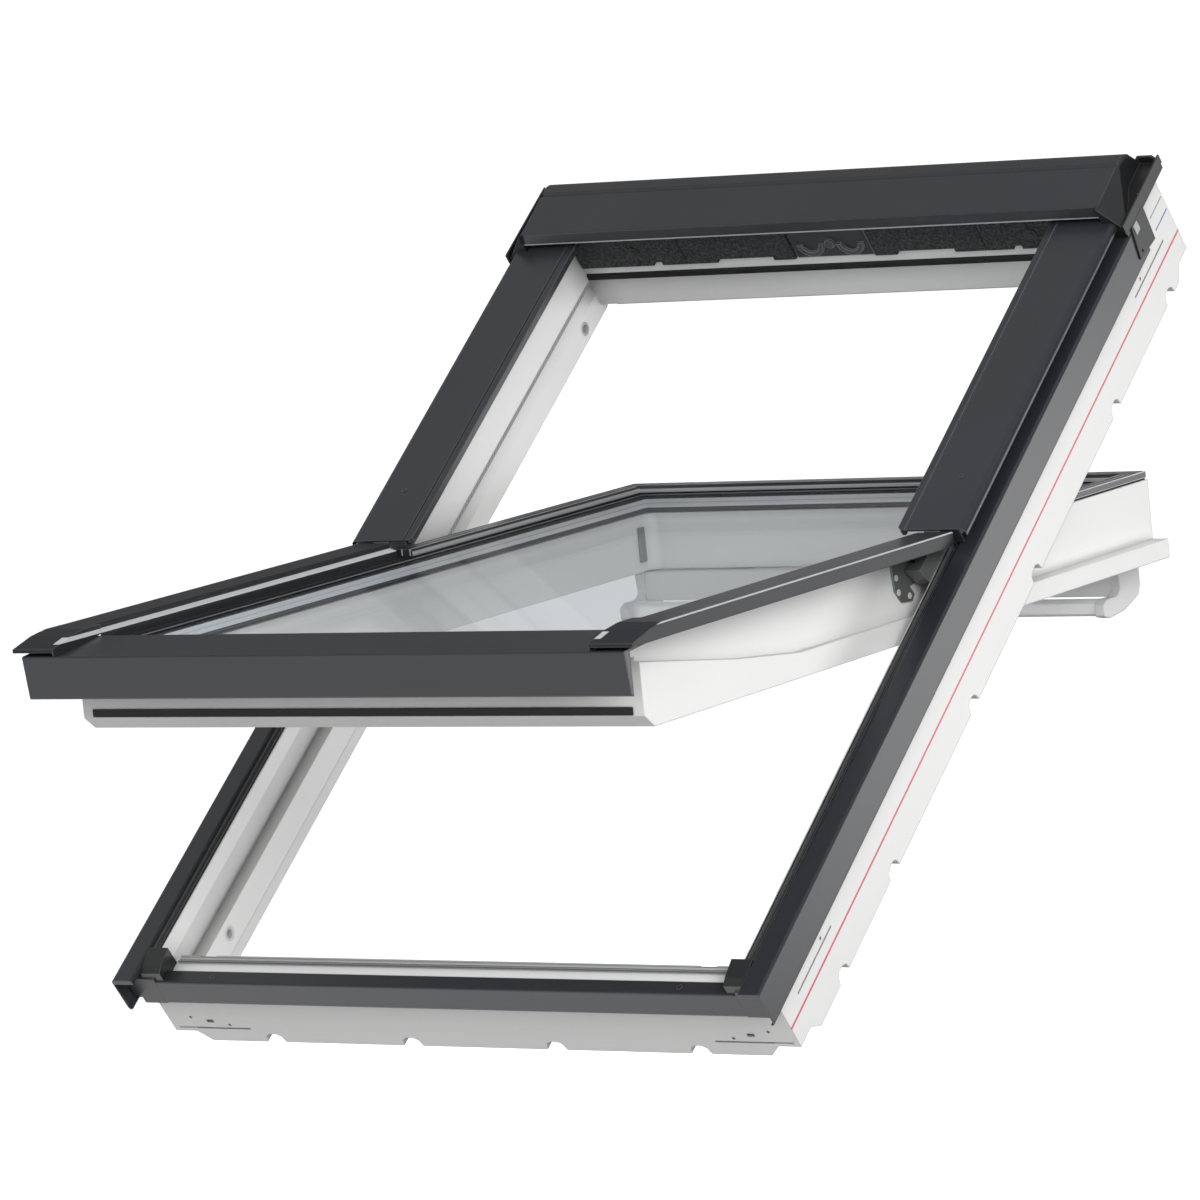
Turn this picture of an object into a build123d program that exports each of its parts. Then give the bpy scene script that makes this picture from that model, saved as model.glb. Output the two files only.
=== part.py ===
from build123d import *
import os
from math import atan2, cos, degrees, hypot, radians, sin, sqrt

# Centre-pivot roof window: a moulded frame in aluminium cladding and a glazed sash that swings in it.
# Every piece is drawn lying flat with the sash shut: X to the right, Y up the slope from the bottom
# face of the frame, Z outwards from the installation line. The pieces are then laid at the roof
# pitch, and those of the sash are swung open about the pivot.

# Driving sizes, in millimetres and degrees
FRAME_WIDTH = 780.0
FRAME_LENGTH = 1178.0
ROOF_ANGLE = 45.0
OPEN_ANGLE = 36.0
PIVOT_UP = 12.5
PIVOT_Z = 105.5
SHEET = 1.0
PASSING = 3.0
SLACK = 0.3
FIT = 0.1
RUNNING = 0.05
OVERRUN = 5.0
STUD_SIDES = 12

HALF = FRAME_WIDTH / 2
PIVOT_Y = FRAME_LENGTH / 2 + PIVOT_UP
os.makedirs("parts", exist_ok=True)
pieces = {}


def slope_prism(points, start, end, mode=Mode.ADD):
    """Runs an outline of (across, height) points up the slope from one distance to another."""
    with BuildSketch(Plane.XZ.offset(-start)) as outline:
        with BuildLine():
            Polyline(*points, close=True)
        make_face()
    extrude(outline.sketch, amount=start - end, mode=mode)


def cross_prism(points, start, end, mode=Mode.ADD):
    """Runs an outline of (slope, height) points across the window."""
    with BuildSketch(Plane.YZ.offset(start)) as outline:
        with BuildLine():
            Polyline(*points, close=True)
        make_face()
    extrude(outline.sketch, amount=end - start, mode=mode)


def slope_sheet(points, radius, thickness, start, end):
    """Runs a folded sheet up the slope; the sheet grows to the right of its line of points."""
    with BuildSketch(Plane.XZ.offset(-start)) as outline:
        with BuildLine():
            FilletPolyline(*points, radius=radius)
            offset(amount=thickness, side=Side.RIGHT)
        make_face()
    extrude(outline.sketch, amount=start - end)


def cross_sheet(points, radius, thickness, start, end):
    """Runs a folded sheet across the window; the sheet grows to the right of its line of points."""
    with BuildSketch(Plane.YZ.offset(start)) as outline:
        with BuildLine():
            FilletPolyline(*points, radius=radius)
            offset(amount=thickness, side=Side.RIGHT)
        make_face()
    extrude(outline.sketch, amount=end - start)


def block(low, high, mode=Mode.ADD):
    """A square block between two opposite corners, given in any order."""
    sizes = [abs(b - a) for a, b in zip(low, high)]
    middle = [(a + b) / 2 for a, b in zip(low, high)]
    with Locations(tuple(middle)):
        Box(*sizes, mode=mode)


def cross_rod(centre, radius, start, end, mode=Mode.ADD):
    """A round bar across the window about a (slope, height) centre."""
    with BuildSketch(Plane.YZ.offset(start)) as outline:
        with Locations(centre):
            Circle(radius)
    extrude(outline.sketch, amount=end - start, mode=mode)


def slope_rod(centre, radius, start, end, mode=Mode.ADD):
    """A round bar up the slope about an (across, height) centre."""
    with BuildSketch(Plane.XZ.offset(-start)) as outline:
        with Locations(centre):
            Circle(radius)
    extrude(outline.sketch, amount=start - end, mode=mode)


def stud(plane, place, radius, rise):
    """A small round head standing on a face, with a few flat sides."""
    with BuildSketch(plane) as outline:
        with Locations(place):
            RegularPolygon(radius, STUD_SIDES)
    extrude(outline.sketch, amount=rise)


def ring(half_out, low_out, high_out, half_in, low_in, high_in, base, top):
    """A flat rectangular ring lying in the plane of the window."""
    block((-half_out, low_out, base), (half_out, high_out, top))
    block((-half_in, low_in, base), (half_in, high_in, top), Mode.SUBTRACT)


def keep(label, builder, pose):
    """Names a finished piece and notes how it is placed."""
    builder.part.label = label
    pieces[label] = (builder.part, pose)


def keep_pair(label, builder, pose):
    """Notes a right-hand piece and its mirror image on the left."""
    with BuildPart() as other:
        mirror(builder.part, about=Plane.YZ)
    keep(label + "_right", builder, pose)
    keep(label + "_left", other, pose)


ROOF = Location((0, 0, 0), (ROOF_ANGLE, 0, 0))
SWUNG = (
    ROOF
    * Location((0, PIVOT_Y, PIVOT_Z))
    * Location((0, 0, 0), (-OPEN_ANGLE, 0, 0))
    * Location((0, -PIVOT_Y, -PIVOT_Z))
)

# Moulded frame: levels from the installation line, and walls measured in from the outer faces
RIM_Z = -41.5
STEP_Z = -27.0
FRAME_TOP = 78.0
UPPER_WALL = 48.0
ROOM_WALL = 29.0
CAVITY_WALL = 12.0
LINING_WALL = 16.0
SEAT_OUT_WALL = 15.0
SEAT_IN_WALL = 27.0
SEAT_Z = 72.0
BEAD_TOP = 80.0
BROW_Z = 61.0
LIP_TOP = 18.0
LIP_LOW = -15.0
REBATE_Z = 26.0
RIB_WALL = 17.0
SPLIT_UP = 10.0
COVER_TOP = 105.0
SILL_DEEP = 25.0
SILL_Z = 62.0
SILL_LINING_Z = -20.0
SILL_LINING_DEEP = 16.0
SILL_STEP = 1.0
SILL_STEP_Z = 31.0
HEAD_DEEP = 68.0
HEAD_REBATE_DEEP = 51.0
HEAD_LINING_DEEP = 38.0
HEAD_LINING_Z = -29.0
HEAD_TOP = 100.0
HEAD_BACK_TOP = 84.0
HEAD_SLOPE = 28.0
CORNER_CUT = 27.0
CORNER_CUT_LOW = 41.0
CAVITY_BOW_SHARE = 0.3
NOTCH_REACH = 12.0
NOTCH_DEPTH = 14.0
NOTCH_SHAPE_SHARES = ((-1.0, 0.0), (-0.8, 0.7), (-0.35, 1.0), (0.35, 1.0), (0.8, 0.7), (1.0, 0.0))
NOTCH_SIDE_SHARES = (0.092, 0.214, 0.414, 0.578, 0.792, 0.943)
NOTCH_SILL_SHARES = (-0.34, -0.115, 0.115, 0.34)
SLOT_WIDTH = 2.0
SLOT_DEPTH = 6.0
SIDE_SLOT_Z = 15.0
SIDE_SLOT_IN = 34.0
SIDE_SLOT_LENGTH = 92.0
SIDE_HOLE_Z = 21.5
SIDE_HOLE_IN = 103.0
SILL_SLOT_Z = -22.0
SILL_SLOT_IN = 7.0
SILL_SLOT_LENGTH = 93.0
BRACKET_HOLE_RADIUS = 1.8
BRACKET_HOLE_DEPTH = 11.0
BRACKET_MIDDLE_IN = 53.0
BRACKET_MIDDLE_Z = -11.0
BRACKET_REACH = 22.8
BRACKET_DROP = 5.5
KEY_WIDTH = 9.0
KEY_HEIGHT = 4.5

# Hinge: a half-round case let into the upper jamb, with a curved groove about the pivot
CASE_RADIUS = 56.0
CASE_DROP = 3.0
GROOVE_IN = 36.0
GROOVE_OUT = 44.0
GROOVE_DEPTH = 7.5

# Barrel bolt: its place in the shut sash, and the holes that take it
BOLT_RADIUS = 4.0
BOLT_END_IN = 10.9
BOLT_Z = 9.0
BUSH_RADIUS = 8.0
BUSH_BORE = 5.0
BUSH_DEPTH = 9.0
CLEAN_BUSH_Z = 2.6
SASH_END_GAP = 7.0
VENT_ANGLE = 4.25

JAMB_IN = HALF - UPPER_WALL
ROOM_IN = HALF - ROOM_WALL
RIB_OUT = HALF - RIB_WALL
RIB_TOP = COVER_TOP - SHEET
SPLIT_Y = PIVOT_Y + SPLIT_UP
HEAD_Y = FRAME_LENGTH - HEAD_DEEP
SASH_BACK = HEAD_Y - SASH_END_GAP
BOLT_Y = SASH_BACK - BOLT_END_IN
HEAD_REBATE_Y = FRAME_LENGTH - HEAD_REBATE_DEEP
HEAD_LINING_Y = FRAME_LENGTH - HEAD_LINING_DEEP
bolt_reach = hypot(BOLT_Y - PIVOT_Y, BOLT_Z - PIVOT_Z)
bolt_turn = degrees(atan2(BOLT_Z - PIVOT_Z, BOLT_Y - PIVOT_Y))
# Turned over for cleaning, the bolt comes down to the level of the lower bush
clean_drop = PIVOT_Z - CLEAN_BUSH_Z
clean_turn = degrees(atan2(-clean_drop, -sqrt(bolt_reach**2 - clean_drop**2)))
clean_angle = bolt_turn - clean_turn


def bolt_place(opened):
    """Where the bolt stands, as (slope, height), when the sash is opened by an angle."""
    turn = radians(bolt_turn - opened)
    return (PIVOT_Y + bolt_reach * cos(turn), PIVOT_Z + bolt_reach * sin(turn))


brow = (ROOM_IN, BROW_Z)
bow = (ROOM_IN + CAVITY_BOW_SHARE * (ROOM_WALL - CAVITY_WALL), (BROW_Z + LIP_TOP) / 2)
cavity_foot = (HALF - CAVITY_WALL, LIP_TOP)
upper_jamb = [
    (HALF, RIM_Z),
    (HALF, FRAME_TOP),
    (RIB_OUT, FRAME_TOP),
    (RIB_OUT, RIB_TOP),
    (JAMB_IN, RIB_TOP),
    (JAMB_IN, REBATE_Z),
    (ROOM_IN, REBATE_Z),
    (ROOM_IN, RIM_Z),
]
sill = [
    (0, RIM_Z),
    (0, SILL_STEP_Z),
    (SILL_STEP, SILL_STEP_Z),
    (SILL_STEP, SILL_Z),
    (SILL_DEEP, SILL_Z),
    (SILL_DEEP, SILL_LINING_Z),
    (SILL_LINING_DEEP, SILL_LINING_Z),
    (SILL_LINING_DEEP, RIM_Z),
]
head = [
    (FRAME_LENGTH, RIM_Z),
    (FRAME_LENGTH, HEAD_BACK_TOP),
    (FRAME_LENGTH - HEAD_SLOPE, HEAD_TOP),
    (HEAD_Y, HEAD_TOP),
    (HEAD_Y, REBATE_Z),
    (HEAD_REBATE_Y, REBATE_Z),
    (HEAD_REBATE_Y, HEAD_LINING_Z),
    (HEAD_LINING_Y, HEAD_LINING_Z),
    (HEAD_LINING_Y, RIM_Z),
]
with BuildPart() as frame:
    with BuildSketch(Plane.XZ.offset(-SILL_STEP)) as lower_jamb:
        with BuildLine():
            Polyline(
                (HALF, RIM_Z),
                (HALF, FRAME_TOP),
                (HALF - SEAT_OUT_WALL, FRAME_TOP),
                (HALF - SEAT_OUT_WALL, SEAT_Z),
                (HALF - SEAT_IN_WALL, SEAT_Z),
                (HALF - SEAT_IN_WALL, BEAD_TOP),
                (ROOM_IN, BEAD_TOP),
                brow,
            )
            ThreePointArc(brow, bow, cavity_foot)
            Polyline(
                cavity_foot,
                (ROOM_IN, LIP_TOP),
                (ROOM_IN, LIP_LOW),
                (HALF - LINING_WALL, LIP_LOW),
                (HALF - LINING_WALL, RIM_Z),
                (HALF, RIM_Z),
            )
        make_face()
    extrude(amount=SILL_STEP - SPLIT_Y)
    slope_prism(upper_jamb, SPLIT_Y, FRAME_LENGTH)
    mirror(about=Plane.YZ)
    cross_prism(sill, -HALF, HALF)
    cross_prism(head, -HALF, HALF)
    # The ribs of the jambs end at the front of the head
    cross_prism(
        [
            (HEAD_Y, HEAD_TOP),
            (HEAD_Y, RIB_TOP + OVERRUN),
            (FRAME_LENGTH + OVERRUN, RIB_TOP + OVERRUN),
            (FRAME_LENGTH + OVERRUN, HEAD_BACK_TOP),
            (FRAME_LENGTH, HEAD_BACK_TOP),
            (FRAME_LENGTH - HEAD_SLOPE, HEAD_TOP),
        ],
        -HALF,
        HALF,
        Mode.SUBTRACT,
    )
    # Cut-away corners of the underside rim, with sloping ends
    with BuildSketch(Plane.XY.offset(RIM_Z)) as corners:
        with Locations((-HALF, 0), (HALF, 0), (-HALF, FRAME_LENGTH), (HALF, FRAME_LENGTH)):
            Rectangle(2 * CORNER_CUT_LOW, 2 * CORNER_CUT_LOW)
    extrude(
        corners.sketch,
        amount=STEP_Z - RIM_Z,
        taper=degrees(atan2(CORNER_CUT_LOW - CORNER_CUT, STEP_Z - RIM_Z)),
        mode=Mode.SUBTRACT,
    )
    # Rounded notches along the rim
    notch = [(NOTCH_REACH * a, RIM_Z + NOTCH_REACH * b) for a, b in NOTCH_SHAPE_SHARES]
    for share in NOTCH_SILL_SHARES:
        place = [(share * FRAME_WIDTH + a, b) for a, b in notch]
        slope_prism(place, -OVERRUN, NOTCH_DEPTH, Mode.SUBTRACT)
    for side in (-1, 1):
        outer = side * (HALF + OVERRUN)
        for share in NOTCH_SIDE_SHARES:
            place = [(share * FRAME_LENGTH + a, b) for a, b in notch]
            cross_prism(place, side * (HALF - NOTCH_DEPTH), outer, Mode.SUBTRACT)
        # The raised part of the head ends in line with the ribs of the jambs
        block(
            (side * RIB_OUT, HEAD_Y - OVERRUN, FRAME_TOP),
            (outer, FRAME_LENGTH + OVERRUN, RIB_TOP + OVERRUN),
            Mode.SUBTRACT,
        )
        # Grooves and fixing holes near the ends of the sides
        for start in (SIDE_SLOT_IN, FRAME_LENGTH - SIDE_SLOT_IN - SIDE_SLOT_LENGTH):
            block(
                (side * (HALF - SLOT_DEPTH), start, SIDE_SLOT_Z - SLOT_WIDTH / 2),
                (outer, start + SIDE_SLOT_LENGTH, SIDE_SLOT_Z + SLOT_WIDTH / 2),
                Mode.SUBTRACT,
            )
        for along in (SIDE_HOLE_IN, FRAME_LENGTH - SIDE_HOLE_IN):
            place = (along, SIDE_HOLE_Z)
            cross_rod(place, BRACKET_HOLE_RADIUS, side * (HALF - BRACKET_HOLE_DEPTH), outer, Mode.SUBTRACT)
        # Groove, key hole and two fixing holes near the ends of the sill
        block(
            (side * (HALF - SILL_SLOT_IN), -OVERRUN, SILL_SLOT_Z - SLOT_WIDTH / 2),
            (side * (HALF - SILL_SLOT_IN - SILL_SLOT_LENGTH), SLOT_DEPTH, SILL_SLOT_Z + SLOT_WIDTH / 2),
            Mode.SUBTRACT,
        )
        middle = side * (HALF - BRACKET_MIDDLE_IN)
        block(
            (middle - KEY_WIDTH / 2, -OVERRUN, BRACKET_MIDDLE_Z - KEY_HEIGHT / 2),
            (middle + KEY_WIDTH / 2, SLOT_DEPTH, BRACKET_MIDDLE_Z + KEY_HEIGHT / 2),
            Mode.SUBTRACT,
        )
        for turn in (-1, 1):
            place = (middle + turn * side * BRACKET_REACH, BRACKET_MIDDLE_Z + turn * BRACKET_DROP)
            slope_rod(place, BRACKET_HOLE_RADIUS, -OVERRUN, BRACKET_HOLE_DEPTH, Mode.SUBTRACT)
        # Half-round recess for the hinge case
        cross_rod(
            (PIVOT_Y, PIVOT_Z),
            CASE_RADIUS,
            side * (JAMB_IN - OVERRUN),
            side * ROOM_IN,
            Mode.SUBTRACT,
        )
    # Bolt holes in the left jamb: shut, airing and cleaning
    for opened, radius in ((0, BUSH_BORE), (VENT_ANGLE, BUSH_RADIUS), (clean_angle, BUSH_RADIUS)):
        cross_rod(bolt_place(opened), radius, -ROOM_IN - BUSH_DEPTH, -ROOM_IN + OVERRUN, Mode.SUBTRACT)
keep("frame", frame, ROOF)

# Bushes set flush into the left jamb
for label, opened in (("bolt_bush_upper", VENT_ANGLE), ("bolt_bush_lower", clean_angle)):
    with BuildPart() as bush:
        cross_rod(bolt_place(opened), BUSH_RADIUS, -ROOM_IN - BUSH_DEPTH, -ROOM_IN)
        cross_rod(bolt_place(opened), BUSH_BORE, -ROOM_IN - BUSH_DEPTH, -ROOM_IN, Mode.SUBTRACT)
    keep(label, bush, ROOF)

# Side cladding: a folded sheet over each jamb, standing clear of its outer side
CLAD_TOP = 84.0
CLAD_STAND = 11.0
CLAD_INSET = 15.0
CLAD_LOW = 39.0
CLAD_BEND = 3.0
CLAD_FRONT = 30.0
CLAD_SHORT = 78.0
CLAD_RETURN = 6.0
CLAD_HEM = 4.5
clad_out = HALF + CLAD_STAND
clad_in = HALF - CLAD_INSET
clad_end = FRAME_LENGTH - CLAD_SHORT
with BuildPart() as side_cladding:
    slope_sheet(
        [
            (clad_in, FRAME_TOP),
            (clad_in, CLAD_TOP),
            (clad_out, CLAD_TOP),
            (clad_out, CLAD_LOW),
            (clad_out - CLAD_HEM, CLAD_LOW),
        ],
        CLAD_BEND,
        SHEET,
        -CLAD_FRONT,
        clad_end,
    )
    block(
        (clad_in + SHEET, -CLAD_FRONT, CLAD_TOP - CLAD_RETURN),
        (clad_out - SHEET, SHEET - CLAD_FRONT, CLAD_TOP - SHEET),
    )
keep_pair("side_cladding", side_cladding, ROOF)

# Sill cladding: a folded sheet over the sill, ending at the corner pieces
SILL_CLAD_BACK = 3.0
SILL_CLAD_FRONT = -15.0
SILL_CLAD_TOP = 66.0
SILL_CLAD_LOW = 33.5
SILL_CLAD_BEND = 1.8
sill_clad_half = ROOM_IN - SLACK
with BuildPart() as sill_cladding:
    cross_sheet(
        [
            (SILL_STEP - FIT, SILL_CLAD_LOW),
            (SILL_CLAD_FRONT, SILL_CLAD_LOW),
            (SILL_CLAD_FRONT, SILL_CLAD_TOP),
            (SILL_CLAD_BACK, SILL_CLAD_TOP),
            (SILL_CLAD_BACK, SILL_Z + FIT),
        ],
        SILL_CLAD_BEND,
        SHEET,
        -sill_clad_half,
        sill_clad_half,
    )
keep("sill_cladding", sill_cladding, ROOF)

# Corner pieces: a moulded block at each end of the sill, with a wedge up to the side cladding
CORNER_TOP = 76.0
CORNER_SIDE = 9.0
CORNER_EAVE = 42.0
CORNER_BEVEL = 6.0
WEDGE_IN = 40.0
WEDGE_FRONT = 13.0
WEDGE_NOSE_Z = 77.0
WEDGE_KNEE = 5.0
WEDGE_KNEE_Z = 81.0
WEDGE_BACK = 17.0
WEDGE_TOP = 85.0
wedge_crown = [
    (-WEDGE_FRONT, WEDGE_NOSE_Z),
    (-WEDGE_KNEE, WEDGE_KNEE_Z),
    (WEDGE_BACK, WEDGE_TOP),
]
with BuildPart() as corner_piece:
    for low, start, end in (
        (SILL_CLAD_LOW, sill_clad_half, HALF - SLACK),
        (CORNER_EAVE, HALF - SLACK, HALF + CORNER_SIDE),
    ):
        cross_prism(
            [
                (SILL_STEP, low),
                (SILL_STEP, CORNER_TOP),
                (SILL_CLAD_FRONT + CORNER_BEVEL, CORNER_TOP),
                (SILL_CLAD_FRONT, CORNER_TOP - CORNER_BEVEL),
                (SILL_CLAD_FRONT, low),
            ],
            start,
            end,
        )
    cross_prism(
        [
            (SILL_CLAD_BACK + FIT, SILL_Z),
            (SILL_CLAD_BACK + FIT, SILL_CLAD_TOP + FIT),
            (-WEDGE_FRONT, SILL_CLAD_TOP + FIT),
            *wedge_crown,
            (WEDGE_BACK, SILL_Z),
        ],
        HALF - WEDGE_IN,
        ROOM_IN,
    )
    cross_prism(
        [
            (SILL_STEP - FIT, BEAD_TOP + FIT),
            (SILL_STEP - FIT, CORNER_TOP - CORNER_BEVEL),
            (-WEDGE_FRONT, CORNER_TOP - CORNER_BEVEL),
            *wedge_crown,
            (WEDGE_BACK, BEAD_TOP + FIT),
        ],
        ROOM_IN,
        clad_in - FIT,
    )
keep_pair("corner_piece", corner_piece, ROOF)

# Weather rails: ribbed rubber strips in the seats of the lower jambs
RAIL_BASE = 4.0
RAIL_RIB = 9.0
RAIL_RIB_WIDTH = 3.0
rail_in = HALF - SEAT_IN_WALL + SLACK
rail_out = HALF - SEAT_OUT_WALL - SLACK
with BuildPart() as weather_rail:
    slope_prism(
        [
            (rail_in, SEAT_Z),
            (rail_in, SEAT_Z + RAIL_RIB),
            (rail_in + RAIL_RIB_WIDTH, SEAT_Z + RAIL_RIB),
            (rail_in + RAIL_RIB_WIDTH, SEAT_Z + RAIL_BASE),
            (rail_out - RAIL_RIB_WIDTH, SEAT_Z + RAIL_BASE),
            (rail_out - RAIL_RIB_WIDTH, SEAT_Z + RAIL_RIB),
            (rail_out, SEAT_Z + RAIL_RIB),
            (rail_out, SEAT_Z),
        ],
        WEDGE_BACK + SLACK,
        SPLIT_Y - SLACK,
    )
keep_pair("weather_rail", weather_rail, ROOF)

# Sill gasket: a low strip along the inner edge of the sill, its back lip broken near both ends
SILL_SEAL_WIDTH = 9.0
SILL_SEAL_RISE = 3.0
SILL_SEAL_LIP = 1.6
SILL_SEAL_END = 26.0
SILL_SEAL_BREAK = 20.0
seal_y = SILL_DEEP - SILL_SEAL_WIDTH
sill_seal_half = HALF - WEDGE_IN - PASSING
with BuildPart() as sill_gasket:
    cross_prism(
        [
            (seal_y, SILL_Z),
            (seal_y, SILL_Z + SILL_SEAL_RISE),
            (seal_y + SILL_SEAL_LIP, SILL_Z + SILL_SEAL_RISE),
            (seal_y + SILL_SEAL_LIP, SILL_Z + SILL_SEAL_LIP),
            (SILL_DEEP - SILL_SEAL_LIP, SILL_Z + SILL_SEAL_LIP),
            (SILL_DEEP - SILL_SEAL_LIP, SILL_Z + SILL_SEAL_RISE),
            (SILL_DEEP, SILL_Z + SILL_SEAL_RISE),
            (SILL_DEEP, SILL_Z),
        ],
        -sill_seal_half,
        sill_seal_half,
    )
    for side in (-1, 1):
        gap_out = side * (sill_seal_half - SILL_SEAL_END)
        gap_in = gap_out - side * SILL_SEAL_BREAK
        block(
            (gap_out, SILL_DEEP - SILL_SEAL_LIP, SILL_Z + SILL_SEAL_LIP),
            (gap_in, SILL_DEEP, SILL_Z + SILL_SEAL_RISE),
            Mode.SUBTRACT,
        )
keep("sill_gasket", sill_gasket, ROOF)

# Upper gaskets: strips under the steps of the upper jambs, and along the head
JAMB_SEAL_WIDTH = 9.0
JAMB_SEAL_DEPTH = 5.0
HEAD_SEAL_RISE = 8.0
HEAD_SEAL_OUT = 2.5
with BuildPart() as jamb_gasket:
    block(
        (JAMB_IN, SPLIT_Y, REBATE_Z - JAMB_SEAL_DEPTH),
        (JAMB_IN + JAMB_SEAL_WIDTH, HEAD_Y, REBATE_Z),
    )
keep_pair("jamb_gasket", jamb_gasket, ROOF)
with BuildPart() as head_gasket:
    cross_prism(
        [
            (HEAD_Y, REBATE_Z),
            (HEAD_Y, REBATE_Z + HEAD_SEAL_RISE),
            (HEAD_Y - HEAD_SEAL_OUT, REBATE_Z + HEAD_SEAL_RISE - HEAD_SEAL_OUT),
            (HEAD_Y - HEAD_SEAL_OUT, REBATE_Z),
        ],
        -JAMB_IN,
        JAMB_IN,
    )
keep("head_gasket", head_gasket, ROOF)

# Upper covers: fixed sheets over the upper jambs, with a rounded outer bend and a turned-down end,
# cut back beside the hood end caps
COVER_SHORT = 7.0
COVER_OUT = 1.6
COVER_LOW = 95.5
COVER_IN = 69.0
COVER_BEND = 7.0
COVER_FLAP_LOW = 86.0
HOOD_END = 14.0
CAP_SHORT = 104.0
cover_start = PIVOT_Y + PASSING
cover_end = HEAD_Y - COVER_SHORT
cover_out = HALF + COVER_OUT
cover_in = HALF - COVER_IN
hood_half = HALF - HOOD_END
cap_front = FRAME_LENGTH - CAP_SHORT
with BuildPart() as upper_cover:
    slope_sheet(
        [(cover_in, COVER_TOP), (cover_out, COVER_TOP), (cover_out, COVER_LOW)],
        COVER_BEND,
        SHEET,
        cover_start,
        cover_end,
    )
    block(
        (ROOM_IN + SLACK, cover_start, COVER_FLAP_LOW),
        (cover_out - COVER_BEND, cover_start + SHEET, COVER_TOP - SHEET),
    )
    block(
        (hood_half - PASSING, cap_front - SLACK, COVER_LOW - OVERRUN),
        (cover_out + OVERRUN, cover_end + OVERRUN, COVER_TOP + OVERRUN),
        Mode.SUBTRACT,
    )
keep_pair("upper_cover", upper_cover, ROOF)

# Screws in the upper covers and in the sill cladding
SCREW_RADIUS = 3.5
SCREW_RISE = 0.6
COVER_SCREW_IN = 33.3
COVER_SCREW_UP = 82.2
SILL_SCREW_IN = 100.0
with BuildPart() as cover_screws:
    place = (HALF - COVER_SCREW_IN, PIVOT_Y + COVER_SCREW_UP)
    stud(Plane.XY.offset(COVER_TOP), place, SCREW_RADIUS, SCREW_RISE)
    mirror(about=Plane.YZ)
keep("cover_screws", cover_screws, ROOF)
with BuildPart() as sill_screws:
    place = (HALF - SILL_SCREW_IN, (SILL_CLAD_FRONT + SILL_CLAD_BACK) / 2)
    stud(Plane.XY.offset(SILL_CLAD_TOP), place, SCREW_RADIUS, SCREW_RISE)
    mirror(about=Plane.YZ)
keep("sill_screws", sill_screws, ROOF)

# Inner trims: narrow strips beside the inner edges of the upper covers, with a web under them
TRIM_IN = 80.0
TRIM_LOW = 97.5
TRIM_GROOVE = 2.5
TRIM_WEB = 1.5
trim_in = HALF - TRIM_IN
trim_out = cover_in - TRIM_GROOVE
with BuildPart() as inner_trim:
    slope_prism(
        [
            (trim_in, TRIM_LOW),
            (trim_in, COVER_TOP),
            (trim_out, COVER_TOP),
            (trim_out, RIB_TOP),
            (JAMB_IN, RIB_TOP),
            (JAMB_IN, RIB_TOP - TRIM_WEB),
            (trim_out, RIB_TOP - TRIM_WEB),
            (trim_out, TRIM_LOW),
        ],
        cover_start,
        cover_end,
    )
    lower_end = inner_trim.edges().filter_by(Axis.Z).group_by(Axis.Y)[0]
    chamfer(lower_end.group_by(Axis.X)[0], (trim_out - trim_in) / 2)
keep_pair("inner_trim", inner_trim, ROOF)

# Hood: a folded sheet along the top, with a lip at the front, a groove and a rounded back
HOOD_LIP_SHORT = 101.5
HOOD_LIP_LOW = 111.0
HOOD_FRONT_SHORT = 98.0
HOOD_FRONT_Z = 124.5
HOOD_GROOVE_SHORT = 36.0
HOOD_GROOVE_WIDTH = 6.5
HOOD_GROOVE_SIDE = 2.0
HOOD_GROOVE_DROP = 2.5
HOOD_RIDGE_SHORT = 18.0
HOOD_RIDGE_Z = 126.0
HOOD_SHOULDER_SHORT = 9.0
HOOD_SHOULDER_Z = 121.0
HOOD_BACK_Z = 103.0
HOOD_BACK_LOW = 78.0
HOOD_BEND = 1.5
groove_y = FRAME_LENGTH - HOOD_GROOVE_SHORT
hood_back_y = FRAME_LENGTH + SHEET + SLACK
hood_fall = [
    (FRAME_LENGTH - HOOD_RIDGE_SHORT, HOOD_RIDGE_Z),
    (FRAME_LENGTH - HOOD_SHOULDER_SHORT, HOOD_SHOULDER_Z),
    (hood_back_y, HOOD_BACK_Z),
]
with BuildPart() as hood:
    cross_sheet(
        [
            (FRAME_LENGTH - HOOD_LIP_SHORT, HOOD_LIP_LOW),
            (FRAME_LENGTH - HOOD_FRONT_SHORT, HOOD_FRONT_Z),
            (groove_y, HOOD_RIDGE_Z),
            (groove_y + HOOD_GROOVE_SIDE, HOOD_RIDGE_Z - HOOD_GROOVE_DROP),
            (groove_y + HOOD_GROOVE_WIDTH - HOOD_GROOVE_SIDE, HOOD_RIDGE_Z - HOOD_GROOVE_DROP),
            (groove_y + HOOD_GROOVE_WIDTH, HOOD_RIDGE_Z),
            *hood_fall,
            (hood_back_y, HOOD_BACK_LOW),
        ],
        HOOD_BEND,
        SHEET,
        -hood_half,
        hood_half,
    )
keep("hood", hood, ROOF)

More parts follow.
